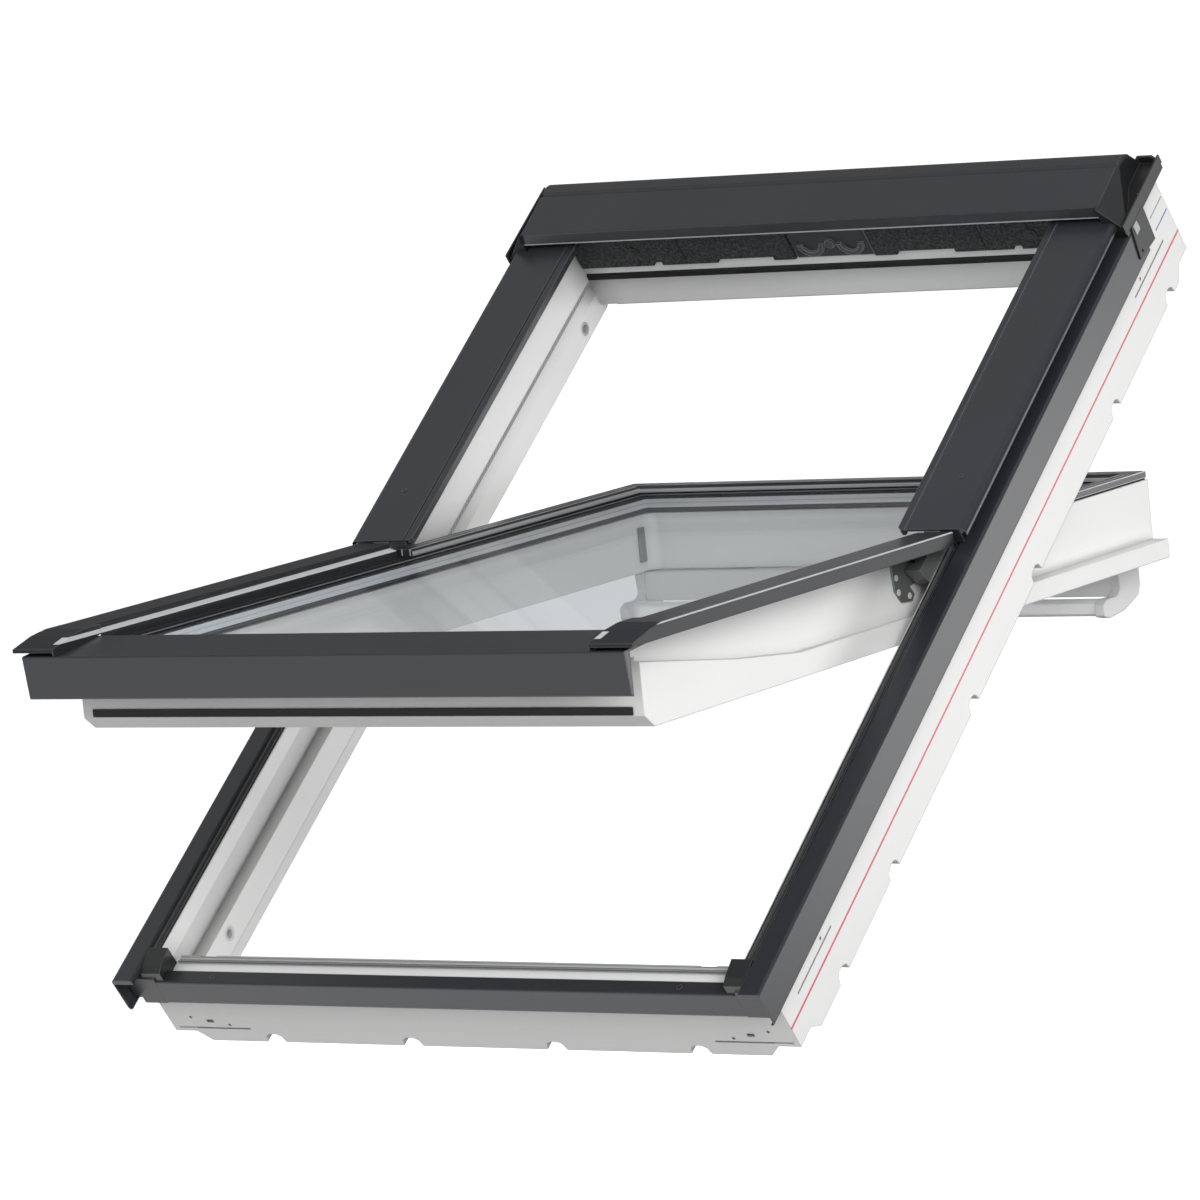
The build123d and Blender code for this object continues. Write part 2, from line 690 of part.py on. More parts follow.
# Hood end caps: sloping cheeks that close the hood, with a pocket behind an upright outer strip
CAP_TOP = 125.0
CAP_FOOT = 95.0
CAP_FLOOR = 94.0
CAP_WALL = 1.5
CAP_BACK_OUT = 8.0
CAP_BACK_WALL = 3.0
POCKET_FRONT = 4.0
POCKET_SHORT = 32.0
STRIP_THICK = 2.0
STRIP_TOP = 103.0
STRIP_FRONT = 4.0
STRIP_STEP = 2.0
STRIP_STEP_SHORT = 28.0
PLATE_OVER = 6.0
cap_back = FRAME_LENGTH + CAP_BACK_OUT
pocket_back = cap_back - CAP_BACK_WALL
strip_out = clad_out + STRIP_THICK
plate_top = CLAD_TOP + PLATE_OVER
strip_step_y = FRAME_LENGTH - STRIP_STEP_SHORT
with BuildPart() as hood_end_cap:
    slope_prism(
        [
            (hood_half, CLAD_TOP),
            (hood_half, CAP_TOP),
            (clad_out, CAP_FOOT),
            (clad_out, CLAD_TOP),
        ],
        cap_front,
        cap_back,
    )
    with BuildSketch(Plane.XY.offset(CAP_FLOOR)) as pocket:
        with BuildLine():
            Polyline(
                (hood_half + CAP_WALL, FRAME_LENGTH - POCKET_SHORT),
                (clad_out, cap_front + POCKET_FRONT),
                (clad_out, pocket_back),
                (hood_half + CAP_WALL, pocket_back),
                close=True,
            )
        make_face()
    extrude(pocket.sketch, amount=CAP_TOP - CAP_FLOOR, mode=Mode.SUBTRACT)
    cross_prism(
        [
            *hood_fall,
            (cap_back + OVERRUN, HOOD_BACK_Z),
            (cap_back + OVERRUN, HOOD_RIDGE_Z),
        ],
        hood_half - OVERRUN,
        clad_out + OVERRUN,
        Mode.SUBTRACT,
    )
    block((clad_out, cap_front - STRIP_FRONT, plate_top + SLACK), (strip_out, strip_step_y, STRIP_TOP))
    block((clad_out, strip_step_y, plate_top + STRIP_STEP), (strip_out, cap_back, STRIP_TOP))
keep_pair("hood_end_cap", hood_end_cap, ROOF)

# Screws on the floors of the caps
CAP_SCREW_IN = 4.5
CAP_SCREW_RADIUS = 2.4
CAP_SCREW_RISE = 1.5
CAP_SCREW_FRONT_SHORT = 78.0
CAP_SCREW_BACK_SHORT = 47.0
with BuildPart() as cap_screws:
    for short in (CAP_SCREW_FRONT_SHORT, CAP_SCREW_BACK_SHORT):
        place = (clad_out - CAP_SCREW_IN, FRAME_LENGTH - short)
        stud(Plane.XY.offset(CAP_FLOOR), place, CAP_SCREW_RADIUS, CAP_SCREW_RISE)
    mirror(about=Plane.YZ)
keep("cap_screws", cap_screws, ROOF)

# Side plates below the caps, each with a hole and a raised pad
PLATE_FRONT_SHORT = 94.0
PLATE_BACK_SHORT = 59.0
PLATE_LEAN_FRONT = 9.5
PLATE_LEAN_BACK = 4.5
PLATE_LOW = 44.5
PLATE_RISE = 6.0
PAD_IN = 7.0
PAD_DROP = 8.0
PAD_LENGTH = 10.0
PAD_HEIGHT = 12.0
PAD_RISE = 1.0
PLATE_HOLE_UP = 10.5
PLATE_HOLE_RADIUS = 2.0
plate_front = FRAME_LENGTH - PLATE_FRONT_SHORT
plate_back = FRAME_LENGTH - PLATE_BACK_SHORT
with BuildPart() as side_plate:
    cross_prism(
        [
            (plate_front, plate_top),
            (plate_back, plate_top),
            (plate_back - PLATE_LEAN_BACK, PLATE_LOW),
            (plate_front - PLATE_LEAN_FRONT, PLATE_LOW + PLATE_RISE),
        ],
        clad_out,
        strip_out,
    )
    place = (plate_front, PLATE_LOW + PLATE_HOLE_UP)
    cross_rod(place, PLATE_HOLE_RADIUS, clad_out, strip_out, Mode.SUBTRACT)
keep_pair("side_plate", side_plate, ROOF)
with BuildPart() as plate_pad:
    pad_middle = (plate_front + PAD_IN, plate_top - PAD_DROP)
    block(
        (strip_out, pad_middle[0] - PAD_LENGTH / 2, pad_middle[1] - PAD_HEIGHT / 2),
        (strip_out + PAD_RISE, pad_middle[0] + PAD_LENGTH / 2, pad_middle[1] + PAD_HEIGHT / 2),
    )
keep_pair("plate_pad", plate_pad, ROOF)

# Lock striker: a plate in the middle of the head with two bowed claws and a screw between them
STRIKER_HALF = 50.0
STRIKER_PLATE = 2.0
STRIKER_TOP = 92.0
FILTER_LOW = 46.0
CLAW_OUT = 3.0
CLAW_X = 26.0
CLAW_Z = 66.0
CLAW_RADIUS = 17.0
CLAW_WIDTH = 6.0
claw_face = HEAD_Y - STRIKER_PLATE
with BuildPart() as striker:
    block((-STRIKER_HALF, claw_face, FILTER_LOW), (STRIKER_HALF, HEAD_Y, STRIKER_TOP))
    with BuildSketch(Plane.XZ.offset(-claw_face)) as claws:
        with Locations((-CLAW_X, CLAW_Z), (CLAW_X, CLAW_Z)):
            Circle(CLAW_RADIUS)
            Circle(CLAW_RADIUS - CLAW_WIDTH, mode=Mode.SUBTRACT)
        with Locations((0, CLAW_Z + CLAW_RADIUS)):
            Rectangle(2 * STRIKER_HALF, 2 * CLAW_RADIUS, mode=Mode.SUBTRACT)
    extrude(claws.sketch, amount=CLAW_OUT)
    slope_rod((0, CLAW_Z), CLAW_WIDTH, claw_face - CLAW_OUT, claw_face)
keep("striker", striker, ROOF)

# Air filters: strips along the front of the head on either side of the striker, stepped below
FILTER_DEEP = 4.5
FILTER_TOP = 96.0
FILTER_GAP = 2.0
FILTER_STEP_RISE = 5.0
FILTER_SEAM = 1.2
FILTER_STEP_SHARES = ((0.1, 0.36), (0.62, 0.66))
FILTER_SEAM_SHARES = (0.5, 0.72)
filter_y = HEAD_Y - FILTER_DEEP
filter_in = STRIKER_HALF + FILTER_GAP
filter_out = JAMB_IN - PASSING
filter_run = filter_out - filter_in
with BuildPart() as air_filter:
    block((filter_in, filter_y, FILTER_LOW), (filter_out, HEAD_Y, FILTER_TOP))
    for start, end in FILTER_STEP_SHARES:
        block(
            (filter_in + start * filter_run, filter_y, FILTER_LOW),
            (filter_in + end * filter_run, HEAD_Y, FILTER_LOW + FILTER_STEP_RISE),
            Mode.SUBTRACT,
        )
    for share in FILTER_SEAM_SHARES:
        seam = filter_in + share * filter_run
        block(
            (seam, filter_y, FILTER_LOW),
            (seam + FILTER_SEAM, filter_y + FILTER_SEAM, FILTER_TOP),
            Mode.SUBTRACT,
        )
keep_pair("air_filter", air_filter, ROOF)

# Filter bosses: a stepped round head near the outer end of each filter
BOSS_IN = 79.0
BOSS_Z = 66.5
BOSS_RADIUS = 8.0
BOSS_CROWN = 4.0
BOSS_RISE = 1.2
with BuildPart() as filter_bosses:
    place = (filter_out - BOSS_IN, BOSS_Z)
    stud(Plane.XZ.offset(-filter_y), place, BOSS_RADIUS, BOSS_RISE)
    stud(Plane.XZ.offset(BOSS_RISE - filter_y), place, BOSS_CROWN, BOSS_RISE)
    mirror(about=Plane.YZ)
keep("filter_bosses", filter_bosses, ROOF)

# Hinge cases in the frame
CASE_PIT_RADIUS = 3.0
CASE_PIT_DEPTH = 1.5
CASE_PIT_SHARES = ((-0.32, -0.85), (0.0, -0.9))
case_edge = CASE_RADIUS - SLACK
with BuildPart() as hinge_case:
    cross_rod((PIVOT_Y, PIVOT_Z), case_edge, JAMB_IN, ROOM_IN)
    cross_rod((PIVOT_Y, PIVOT_Z), GROOVE_OUT, JAMB_IN, JAMB_IN + GROOVE_DEPTH, Mode.SUBTRACT)
    cross_rod((PIVOT_Y, PIVOT_Z), GROOVE_IN, JAMB_IN, JAMB_IN + GROOVE_DEPTH)
    block(
        (JAMB_IN - OVERRUN, PIVOT_Y - CASE_RADIUS, PIVOT_Z - CASE_DROP),
        (ROOM_IN + OVERRUN, PIVOT_Y + CASE_RADIUS, PIVOT_Z + CASE_RADIUS),
        Mode.SUBTRACT,
    )
    for along, up in CASE_PIT_SHARES:
        place = (PIVOT_Y + along * CASE_RADIUS, PIVOT_Z + up * CASE_RADIUS)
        cross_rod(place, CASE_PIT_RADIUS, JAMB_IN, JAMB_IN + CASE_PIT_DEPTH, Mode.SUBTRACT)
keep_pair("hinge_case", hinge_case, ROOF)

# Sash: one moulded ring with a rebate for the glass, a nose over the sill and side flanges
SASH_ROOM_Z = -3.25
SASH_TOP = 86.0
SASH_FRONT_GAP = 10.0
SASH_CHIN_DEEP = 17.0
SASH_CHIN_Z = 10.0
NOSE_REST = 2.0
NOSE_Z = 69.0
SASH_WALL = 39.0
SASH_FRONT_WALL = 60.0
SASH_BACK_WALL = 34.0
OPEN_CORNER = 14.0
GLASS_BITE = 15.0
GLASS_FRONT_BITE = 24.0
GLASS_PLAY = 1.0
GLASS_Z = 62.0
LOWER_FLANGE = 6.0
LOWER_FLANGE_GAP = 1.5
UPPER_FLANGE_BELOW = 26.5
UPPER_FLANGE_LOW = -1.75
UPPER_FLANGE_TOP = 19.5
SEAL_GROOVE_LOW = 11.0
SEAL_GROOVE_TOP = 19.0
SEAL_GROOVE_DEPTH = 6.0
SEAL_IN = 7.0
SEAL_OUT = 1.5
CREST_TOP = 64.0
CREST_RUN_SHARES = (1.0, 0.67, 0.53, 0.32, 0.0)
CREST_TOP_SHARES = (0.334, 0.344, 0.352, 0.563, 1.0)
BOLT_SEAT = 34.0
BOLT_SHY = 0.5
THUMB_SEAT = 19.0
THUMB_WIDTH = 8.0
THUMB_LOW = -11.0
BOLT_TRAVEL = 10.0
LOCK_HALF = 46.0
LOCK_DEEP = 14.0
LOCK_LOW = 22.0
LOCK_HIGH = 58.0
sash_half = JAMB_IN - PASSING
flange_half = ROOM_IN - PASSING
sash_front = SILL_DEEP + SASH_FRONT_GAP
chin_y = sash_front + SASH_CHIN_DEEP
nose_y = SILL_CLAD_BACK + NOSE_REST
open_half = sash_half - SASH_WALL
open_front = sash_front + SASH_FRONT_WALL
open_back = SASH_BACK - SASH_BACK_WALL
glass_half = open_half + GLASS_BITE
glass_front = open_front - GLASS_FRONT_BITE
glass_back = open_back + GLASS_BITE
seal_half = sash_half - SEAL_IN
bolt_inner = sash_half - BOLT_SEAT
bolt_outer = flange_half - BOLT_SHY
thumb_in = sash_half - THUMB_SEAT
crest_run = PIVOT_Y - LOWER_FLANGE_GAP - sash_front
crest = [
    (sash_front + along * crest_run, up * CREST_TOP)
    for along, up in zip(CREST_RUN_SHARES, CREST_TOP_SHARES)
]
with BuildPart() as sash:
    cross_prism(
        [
            (chin_y, SASH_ROOM_Z),
            (sash_front, SASH_CHIN_Z),
            (sash_front, NOSE_Z),
            (nose_y, NOSE_Z),
            (nose_y, SASH_TOP),
            (SASH_BACK, SASH_TOP),
            (SASH_BACK, SASH_ROOM_Z),
        ],
        -sash_half,
        sash_half,
    )
    with BuildSketch(Plane.XY.offset(SASH_ROOM_Z)) as opening:
        with Locations((0, (open_front + open_back) / 2)):
            RectangleRounded(2 * open_half, open_back - open_front, OPEN_CORNER)
    extrude(opening.sketch, amount=SASH_TOP - SASH_ROOM_Z, mode=Mode.SUBTRACT)
    block(
        (-glass_half - GLASS_PLAY, glass_front - GLASS_PLAY, GLASS_Z),
        (glass_half + GLASS_PLAY, glass_back + GLASS_PLAY, SASH_TOP),
        Mode.SUBTRACT,
    )
    for side in (-1, 1):
        cross_prism(
            [
                (sash_front, SASH_CHIN_Z),
                (chin_y, SASH_ROOM_Z),
                (crest[0][0], SASH_ROOM_Z),
                *crest,
            ],
            side * sash_half,
            side * (sash_half + LOWER_FLANGE),
        )
        block(
            (side * sash_half, PIVOT_Y - UPPER_FLANGE_BELOW, UPPER_FLANGE_LOW),
            (side * flange_half, SASH_BACK, UPPER_FLANGE_TOP),
        )
    block(
        (-seal_half, sash_front, SEAL_GROOVE_LOW),
        (seal_half, sash_front + SEAL_GROOVE_DEPTH, SEAL_GROOVE_TOP),
        Mode.SUBTRACT,
    )
    # Pocket for the lock case in the middle of the upper end
    block(
        (-LOCK_HALF, SASH_BACK - LOCK_DEEP, LOCK_LOW),
        (LOCK_HALF, SASH_BACK, LOCK_HIGH),
        Mode.SUBTRACT,
    )
    # Bore of the barrel bolt in the left corner, and the slot of its thumb piece
    cross_rod(
        (BOLT_Y, BOLT_Z),
        BOLT_RADIUS + RUNNING,
        -bolt_inner + SLACK,
        -flange_half - OVERRUN,
        Mode.SUBTRACT,
    )
    block(
        (-thumb_in + SLACK, BOLT_Y - THUMB_WIDTH / 2 - SLACK, SASH_ROOM_Z),
        (
            -thumb_in - THUMB_WIDTH - BOLT_TRAVEL - SLACK,
            BOLT_Y + THUMB_WIDTH / 2 + SLACK,
            BOLT_Z,
        ),
        Mode.SUBTRACT,
    )
keep("sash", sash, SWUNG)

# Barrel bolt with its thumb piece
BOLT_NOSE = 1.2
with BuildPart() as barrel_bolt:
    cross_rod((BOLT_Y, BOLT_Z), BOLT_RADIUS, -bolt_outer, -bolt_inner)
    chamfer(barrel_bolt.edges().group_by(Axis.X)[0], BOLT_NOSE)
    block(
        (-thumb_in, BOLT_Y - THUMB_WIDTH / 2, THUMB_LOW),
        (-thumb_in - THUMB_WIDTH, BOLT_Y + THUMB_WIDTH / 2, BOLT_Z),
    )
keep("barrel_bolt", barrel_bolt, SWUNG)

# Double glazing: two panes, a spacer and an edge seal between them
PANE = 4.0
SPACER_EDGE = 6.0
SPACER_WIDTH = 6.0
with BuildPart() as inner_pane:
    block((-glass_half, glass_front, GLASS_Z), (glass_half, glass_back, GLASS_Z + PANE))
keep("inner_pane", inner_pane, SWUNG)
with BuildPart() as outer_pane:
    block((-glass_half, glass_front, SASH_TOP - PANE), (glass_half, glass_back, SASH_TOP))
keep("outer_pane", outer_pane, SWUNG)
gap_base = GLASS_Z + PANE
gap_top = SASH_TOP - PANE
bar_edge = SPACER_EDGE + SPACER_WIDTH
with BuildPart() as edge_seal:
    ring(
        glass_half,
        glass_front,
        glass_back,
        glass_half - SPACER_EDGE,
        glass_front + SPACER_EDGE,
        glass_back - SPACER_EDGE,
        gap_base,
        gap_top,
    )
keep("edge_seal", edge_seal, SWUNG)
with BuildPart() as spacer:
    ring(
        glass_half - SPACER_EDGE,
        glass_front + SPACER_EDGE,
        glass_back - SPACER_EDGE,
        glass_half - bar_edge,
        glass_front + bar_edge,
        glass_back - bar_edge,
        gap_base,
        gap_top,
    )
keep("spacer", spacer, SWUNG)

# Glazing gasket: a flat rubber ring over the edge of the glass and the top of the sash
GASKET_TOP = 88.0
GASKET_BITE = 4.0
GASKET_SHY = 3.0
GASKET_FRONT_OUT = 23.0
GASKET_BACK_SHY = 1.0
gasket_front = glass_front - GASKET_FRONT_OUT
with BuildPart() as glazing_gasket:
    ring(
        sash_half - GASKET_SHY,
        gasket_front,
        SASH_BACK - GASKET_BACK_SHY,
        glass_half - GASKET_BITE,
        glass_front + GASKET_BITE,
        glass_back - GASKET_BITE,
        SASH_TOP,
        GASKET_TOP,
    )
keep("glazing_gasket", glazing_gasket, SWUNG)

# Bottom gasket in the groove of the lower end
with BuildPart() as bottom_gasket:
    block(
        (-seal_half, sash_front - SEAL_OUT, SEAL_GROOVE_LOW),
        (seal_half, sash_front + SEAL_GROOVE_DEPTH, SEAL_GROOVE_TOP),
    )
keep("bottom_gasket", bottom_gasket, SWUNG)

# Top profile: a shallow U round the upper half of the glass
PROFILE_TOP = 95.5
PROFILE_WIDTH = 23.0
PROFILE_SHY = 2.0
PROFILE_UP = 10.5
PROFILE_BACK_WIDTH = 25.0
PROFILE_LIP = 4.0
PROFILE_SHOULDER = 91.0
profile_out = sash_half - PROFILE_SHY
profile_in = profile_out - PROFILE_WIDTH
profile_back = SASH_BACK - PROFILE_BACK_WIDTH
with BuildPart() as top_profile:
    slope_prism(
        [
            (profile_in, GASKET_TOP),
            (profile_in, PROFILE_SHOULDER),
            (profile_in + PROFILE_LIP, PROFILE_TOP),
            (profile_out, PROFILE_TOP),
            (profile_out, GASKET_TOP),
        ],
        PIVOT_Y + PROFILE_UP,
        SASH_BACK,
    )
    mirror(about=Plane.YZ)
    cross_prism(
        [
            (profile_back, GASKET_TOP),
            (profile_back, PROFILE_SHOULDER),
            (profile_back + PROFILE_LIP, PROFILE_TOP),
            (SASH_BACK, PROFILE_TOP),
            (SASH_BACK, GASKET_TOP),
        ],
        -profile_out,
        profile_out,
    )
keep("top_profile", top_profile, SWUNG)

# Bottom cover: a folded sheet over the lower end of the sash, with closed ends
BAR_SHY = 6.0
BAR_OVER = 6.0
BAR_BACK_Z = 93.75
BAR_RIDGE_OUT = 12.0
BAR_RIDGE_Z = 84.75
BAR_LOW_OUT = 5.5
BAR_LOW_Z = 39.0
BAR_HEM = 4.0
BAR_BEND = 2.0
BAR_END_Z = 84.0
BAR_END_DROP = 3.75
bar_half = clad_in - BAR_SHY
bar_back = gasket_front + BAR_OVER
bar_ridge = SILL_CLAD_FRONT - BAR_RIDGE_OUT
bar_low = SILL_CLAD_FRONT - BAR_LOW_OUT
bar_hem = bar_low + BAR_HEM
with BuildPart() as bottom_cover:
    cross_sheet(
        [
            (bar_hem, BAR_LOW_Z),
            (bar_low, BAR_LOW_Z),
            (bar_ridge, BAR_RIDGE_Z),
            (bar_back, BAR_BACK_Z),
            (bar_back, GASKET_TOP),
        ],
        BAR_BEND,
        SHEET,
        -bar_half,
        bar_half,
    )
    for side in (-1, 1):
        cross_prism(
            [
                (bar_hem, BAR_LOW_Z + SHEET),
                (bar_low, BAR_LOW_Z + SHEET),
                (bar_ridge + SHEET, BAR_RIDGE_Z - SHEET),
                (bar_back - SHEET, BAR_BACK_Z - SHEET),
                (bar_back - SHEET, BAR_BACK_Z - BAR_END_DROP),
                (bar_hem, BAR_END_Z - SHEET),
            ],
            side * bar_half,
            side * (bar_half - SHEET),
        )
keep("bottom_cover", bottom_cover, SWUNG)

# Side covers: folded sheets along the lower half of the sash, each ending in a flared foot
SIDE_TOP = 104.5
SIDE_IN = 11.0
SIDE_OUT = 10.0
SIDE_LOW = 89.0
SIDE_GAP = 1.5
SIDE_BEND = 1.5
SHELF_Z = 96.0
SHELF_RISE = 2.5
SHELF_WIDTH = 8.0
FOOT_OVER = 3.0
FOOT_FALL = 12.1
FOOT_RUN_SHARES = (0.32, 0.62, 0.82, 1.0)
FOOT_FALL_SHARES = (0.0, 0.29, 0.66, 1.0)
FOOT_TOE = 3.9
side_in = sash_half - SIDE_IN
side_out = HALF - SIDE_OUT
side_end = PIVOT_Y - SIDE_GAP
foot_back = bar_back + FOOT_OVER
foot_line = [
    (foot_back + along * (bar_ridge - foot_back), SIDE_TOP - fall * FOOT_FALL)
    for along, fall in zip(FOOT_RUN_SHARES, FOOT_FALL_SHARES)
]
toe_y, toe_z = foot_line[-1]
bar_fall = (BAR_BACK_Z - BAR_RIDGE_Z) / (bar_back - bar_ridge)
rest_back = BAR_BACK_Z + bar_fall * (foot_back - bar_back) + SLACK
rest_toe = BAR_RIDGE_Z + SLACK
with BuildPart() as side_cover:
    slope_sheet(
        [
            (side_in, GASKET_TOP),
            (side_in, SHELF_Z),
            (side_in + SHELF_WIDTH, SHELF_Z + SHELF_RISE),
            (side_in + SHELF_WIDTH, SIDE_TOP),
            (side_out, SIDE_TOP),
            (side_out, SIDE_LOW),
        ],
        SIDE_BEND,
        SHEET,
        foot_back,
        side_end,
    )
    cross_prism(
        [
            (foot_back, SIDE_TOP),
            *foot_line,
            *[(y, z - SHEET) for y, z in reversed(foot_line)],
            (foot_back, SIDE_TOP - SHEET),
        ],
        side_in,
        side_out,
    )
    cross_prism(
        [(foot_back, SIDE_TOP), *foot_line, (toe_y, rest_toe), (foot_back, rest_back)],
        side_in,
        side_in + SHEET,
    )
    cross_prism(
        [(foot_back, SIDE_TOP), *foot_line, (toe_y, toe_z - FOOT_TOE), (foot_back, SIDE_LOW)],
        side_out - SHEET,
        side_out,
    )
    block((side_in, toe_y, toe_z - FOOT_TOE), (side_out, toe_y + SHEET, toe_z - SHEET / 2))
    block(
        (side_in, foot_back - SHEET, rest_back),
        (side_in + SHELF_WIDTH + SHEET, foot_back, SIDE_TOP),
    )
keep_pair("side_cover", side_cover, SWUNG)

# Hinge arms on the sash: a riveted plate with a curved shoe that runs in the groove of the case
ARM_PLATE = 2.0
SHOE_DEEP = 7.0
SHOE_START_ANGLE = 331.0
SHOE_END_ANGLE = 355.0
ARM_REACH = 68.0
ARM_SHAPE_SHARES = (
    (-1.0, -0.32),
    (-0.44, -0.29),
    (0.41, -0.18),
    (0.68, -0.066),
    (0.71, -0.38),
    (0.29, -0.65),
    (-0.26, -0.74),
    (-0.49, -0.78),
    (-0.36, -0.91),
    (-0.44, -1.01),
    (-0.76, -0.985),
    (-0.94, -0.79),
)
RIVET_RADIUS = 3.5
RIVET_RISE = 0.6
RIVET_SHARES = ((-0.88, -0.59), (-0.84, -0.82), (-0.52, -0.92))
arm_face = sash_half + ARM_PLATE
shoe_reach = 2 * GROOVE_OUT
with BuildPart() as hinge_arm:
    cross_prism(
        [(PIVOT_Y + along * ARM_REACH, PIVOT_Z + up * ARM_REACH) for along, up in ARM_SHAPE_SHARES],
        sash_half,
        arm_face,
    )
    with BuildSketch(Plane.YZ.offset(arm_face)) as shoe:
        with Locations((PIVOT_Y, PIVOT_Z)):
            Circle(GROOVE_OUT - RUNNING)
            Circle(GROOVE_IN + RUNNING, mode=Mode.SUBTRACT)
        with BuildLine():
            Polyline(
                (PIVOT_Y, PIVOT_Z),
                *[
                    (
                        PIVOT_Y + shoe_reach * cos(radians(turn)),
                        PIVOT_Z + shoe_reach * sin(radians(turn)),
                    )
                    for turn in (SHOE_START_ANGLE, SHOE_END_ANGLE)
                ],
                close=True,
            )
        make_face(mode=Mode.INTERSECT)
    extrude(shoe.sketch, amount=SHOE_DEEP)
keep_pair("hinge_arm", hinge_arm, SWUNG)
with BuildPart() as hinge_rivets:
    for along, up in RIVET_SHARES:
        place = (PIVOT_Y + along * ARM_REACH, PIVOT_Z + up * ARM_REACH)
        stud(Plane.YZ.offset(arm_face), place, RIVET_RADIUS, RIVET_RISE)
    mirror(about=Plane.YZ)
keep("hinge_rivets", hinge_rivets, SWUNG)

# Lock case in the upper end, flush with the sash, with two openings for the claws
LOCK_MOUTH = 9.0
with BuildPart() as lock_case:
    block((-LOCK_HALF, SASH_BACK - LOCK_DEEP, LOCK_LOW), (LOCK_HALF, SASH_BACK, LOCK_HIGH))
    for side in (-1, 1):
        block(
            (side * CLAW_X - LOCK_MOUTH, SASH_BACK - LOCK_DEEP / 2, LOCK_LOW + LOCK_MOUTH),
            (side * CLAW_X + LOCK_MOUTH, SASH_BACK, LOCK_HIGH - LOCK_MOUTH),
            Mode.SUBTRACT,
        )
keep("lock_case", lock_case, SWUNG)

# Bolt plate on the inner face of the left side of the sash
BOLT_PLATE_IN = 26.0
BOLT_PLATE_LENGTH = 12.0
BOLT_PLATE_LOW = 8.0
BOLT_PLATE_HIGH = 48.0
BOLT_PLATE_THICK = 2.5
with BuildPart() as bolt_plate:
    block(
        (-open_half, open_back - BOLT_PLATE_IN, BOLT_PLATE_LOW),
        (BOLT_PLATE_THICK - open_half, open_back - BOLT_PLATE_IN + BOLT_PLATE_LENGTH, BOLT_PLATE_HIGH),
    )
keep("bolt_plate", bolt_plate, SWUNG)

# Flap hinges: pairs of lugs below the upper end of the sash, bored for the pins of the flap
FLAP_SHY = 5.0
FLAP_Z = -8.0
PIN_RADIUS = 2.5
LUG_IN = 139.0
LUG_WIDTH = 7.0
LUG_PITCH = 14.0
LUG_RADIUS = 4.6
flap_y = SASH_BACK - FLAP_SHY
lug_spots = [side * (sash_half - LUG_IN + turn * LUG_PITCH / 2) for side in (-1, 1) for turn in (-1, 1)]
with BuildPart() as flap_lugs:
    for x in lug_spots:
        block(
            (x - LUG_WIDTH / 2, flap_y - LUG_RADIUS, FLAP_Z),
            (x + LUG_WIDTH / 2, flap_y + LUG_RADIUS, SASH_ROOM_Z),
        )
        cross_rod((flap_y, FLAP_Z), LUG_RADIUS, x - LUG_WIDTH / 2, x + LUG_WIDTH / 2)
        cross_rod(
            (flap_y, FLAP_Z),
            PIN_RADIUS + RUNNING,
            x - LUG_WIDTH / 2,
            x + LUG_WIDTH / 2,
            Mode.SUBTRACT,
        )
keep("flap_lugs", flap_lugs, SWUNG)

# Ventilation flap: a long plate hinged below the upper end of the sash, with a web down its front
FLAP_OVER = 6.0
FLAP_DEEP = 40.0
FLAP_LOW = -10.5
FLAP_TOP = -5.0
WEB_THICK = 4.0
WEB_LOW = -38.0
flap_half = open_half + FLAP_OVER
flap_front = flap_y - FLAP_DEEP
with BuildPart() as vent_flap:
    cross_prism(
        [
            (flap_y + PIN_RADIUS, FLAP_TOP),
            (flap_y + PIN_RADIUS, FLAP_LOW),
            (flap_front + WEB_THICK, FLAP_LOW),
            (flap_front + WEB_THICK, WEB_LOW),
            (flap_front, WEB_LOW),
            (flap_front, FLAP_TOP),
        ],
        -flap_half,
        flap_half,
    )
    for x in lug_spots:
        block(
            (x - LUG_WIDTH / 2 - SLACK, flap_y - LUG_RADIUS - 2 * SLACK, FLAP_Z - LUG_RADIUS - SLACK),
            (x + LUG_WIDTH / 2 + SLACK, flap_y + LUG_RADIUS + SLACK, SASH_ROOM_Z),
            Mode.SUBTRACT,
        )
        cross_rod((flap_y, FLAP_Z), PIN_RADIUS, x - LUG_WIDTH / 2 - PASSING, x + LUG_WIDTH / 2 + PASSING)
keep("vent_flap", vent_flap, SWUNG)

# Bar brackets: broad curved arms that close the ends of the flap and carry the bar
GRIP_ARM_THICK = 11.0
GRIP_ARM_REACH = 82.0
GRIP_ARM_SHAPE_SHARES = (
    (0.0, 0.037),
    (0.073, -0.061),
    (0.073, -0.28),
    (0.012, -0.415),
    (-0.402, -0.561),
    (-0.829, -0.604),
    (-0.988, -0.561),
    (-0.988, -0.402),
    (-0.866, -0.341),
    (-0.585, -0.341),
    (-0.488, -0.256),
    (-0.537, 0.037),
)
GRIP_ARM_ROUND = 3.0
with BuildPart() as bar_bracket:
    cross_prism(
        [
            (flap_y + along * GRIP_ARM_REACH, FLAP_Z + up * GRIP_ARM_REACH)
            for along, up in GRIP_ARM_SHAPE_SHARES
        ],
        flap_half,
        flap_half + GRIP_ARM_THICK,
    )
    fillet(bar_bracket.edges().filter_by(Axis.X), GRIP_ARM_ROUND)
keep_pair("bar_bracket", bar_bracket, SWUNG)

# Control bar between the brackets
GRIP_OUT = 64.0
GRIP_Z = -46.0
GRIP_WIDTH = 13.0
GRIP_HEIGHT = 19.0
GRIP_ROUND = 5.0
with BuildPart() as control_bar:
    with BuildSketch(Plane.YZ.offset(-flap_half)) as grip:
        with Locations((flap_y - GRIP_OUT, GRIP_Z)):
            RectangleRounded(GRIP_WIDTH, GRIP_HEIGHT, GRIP_ROUND)
    extrude(grip.sketch, amount=2 * flap_half)
keep("control_bar", control_bar, SWUNG)

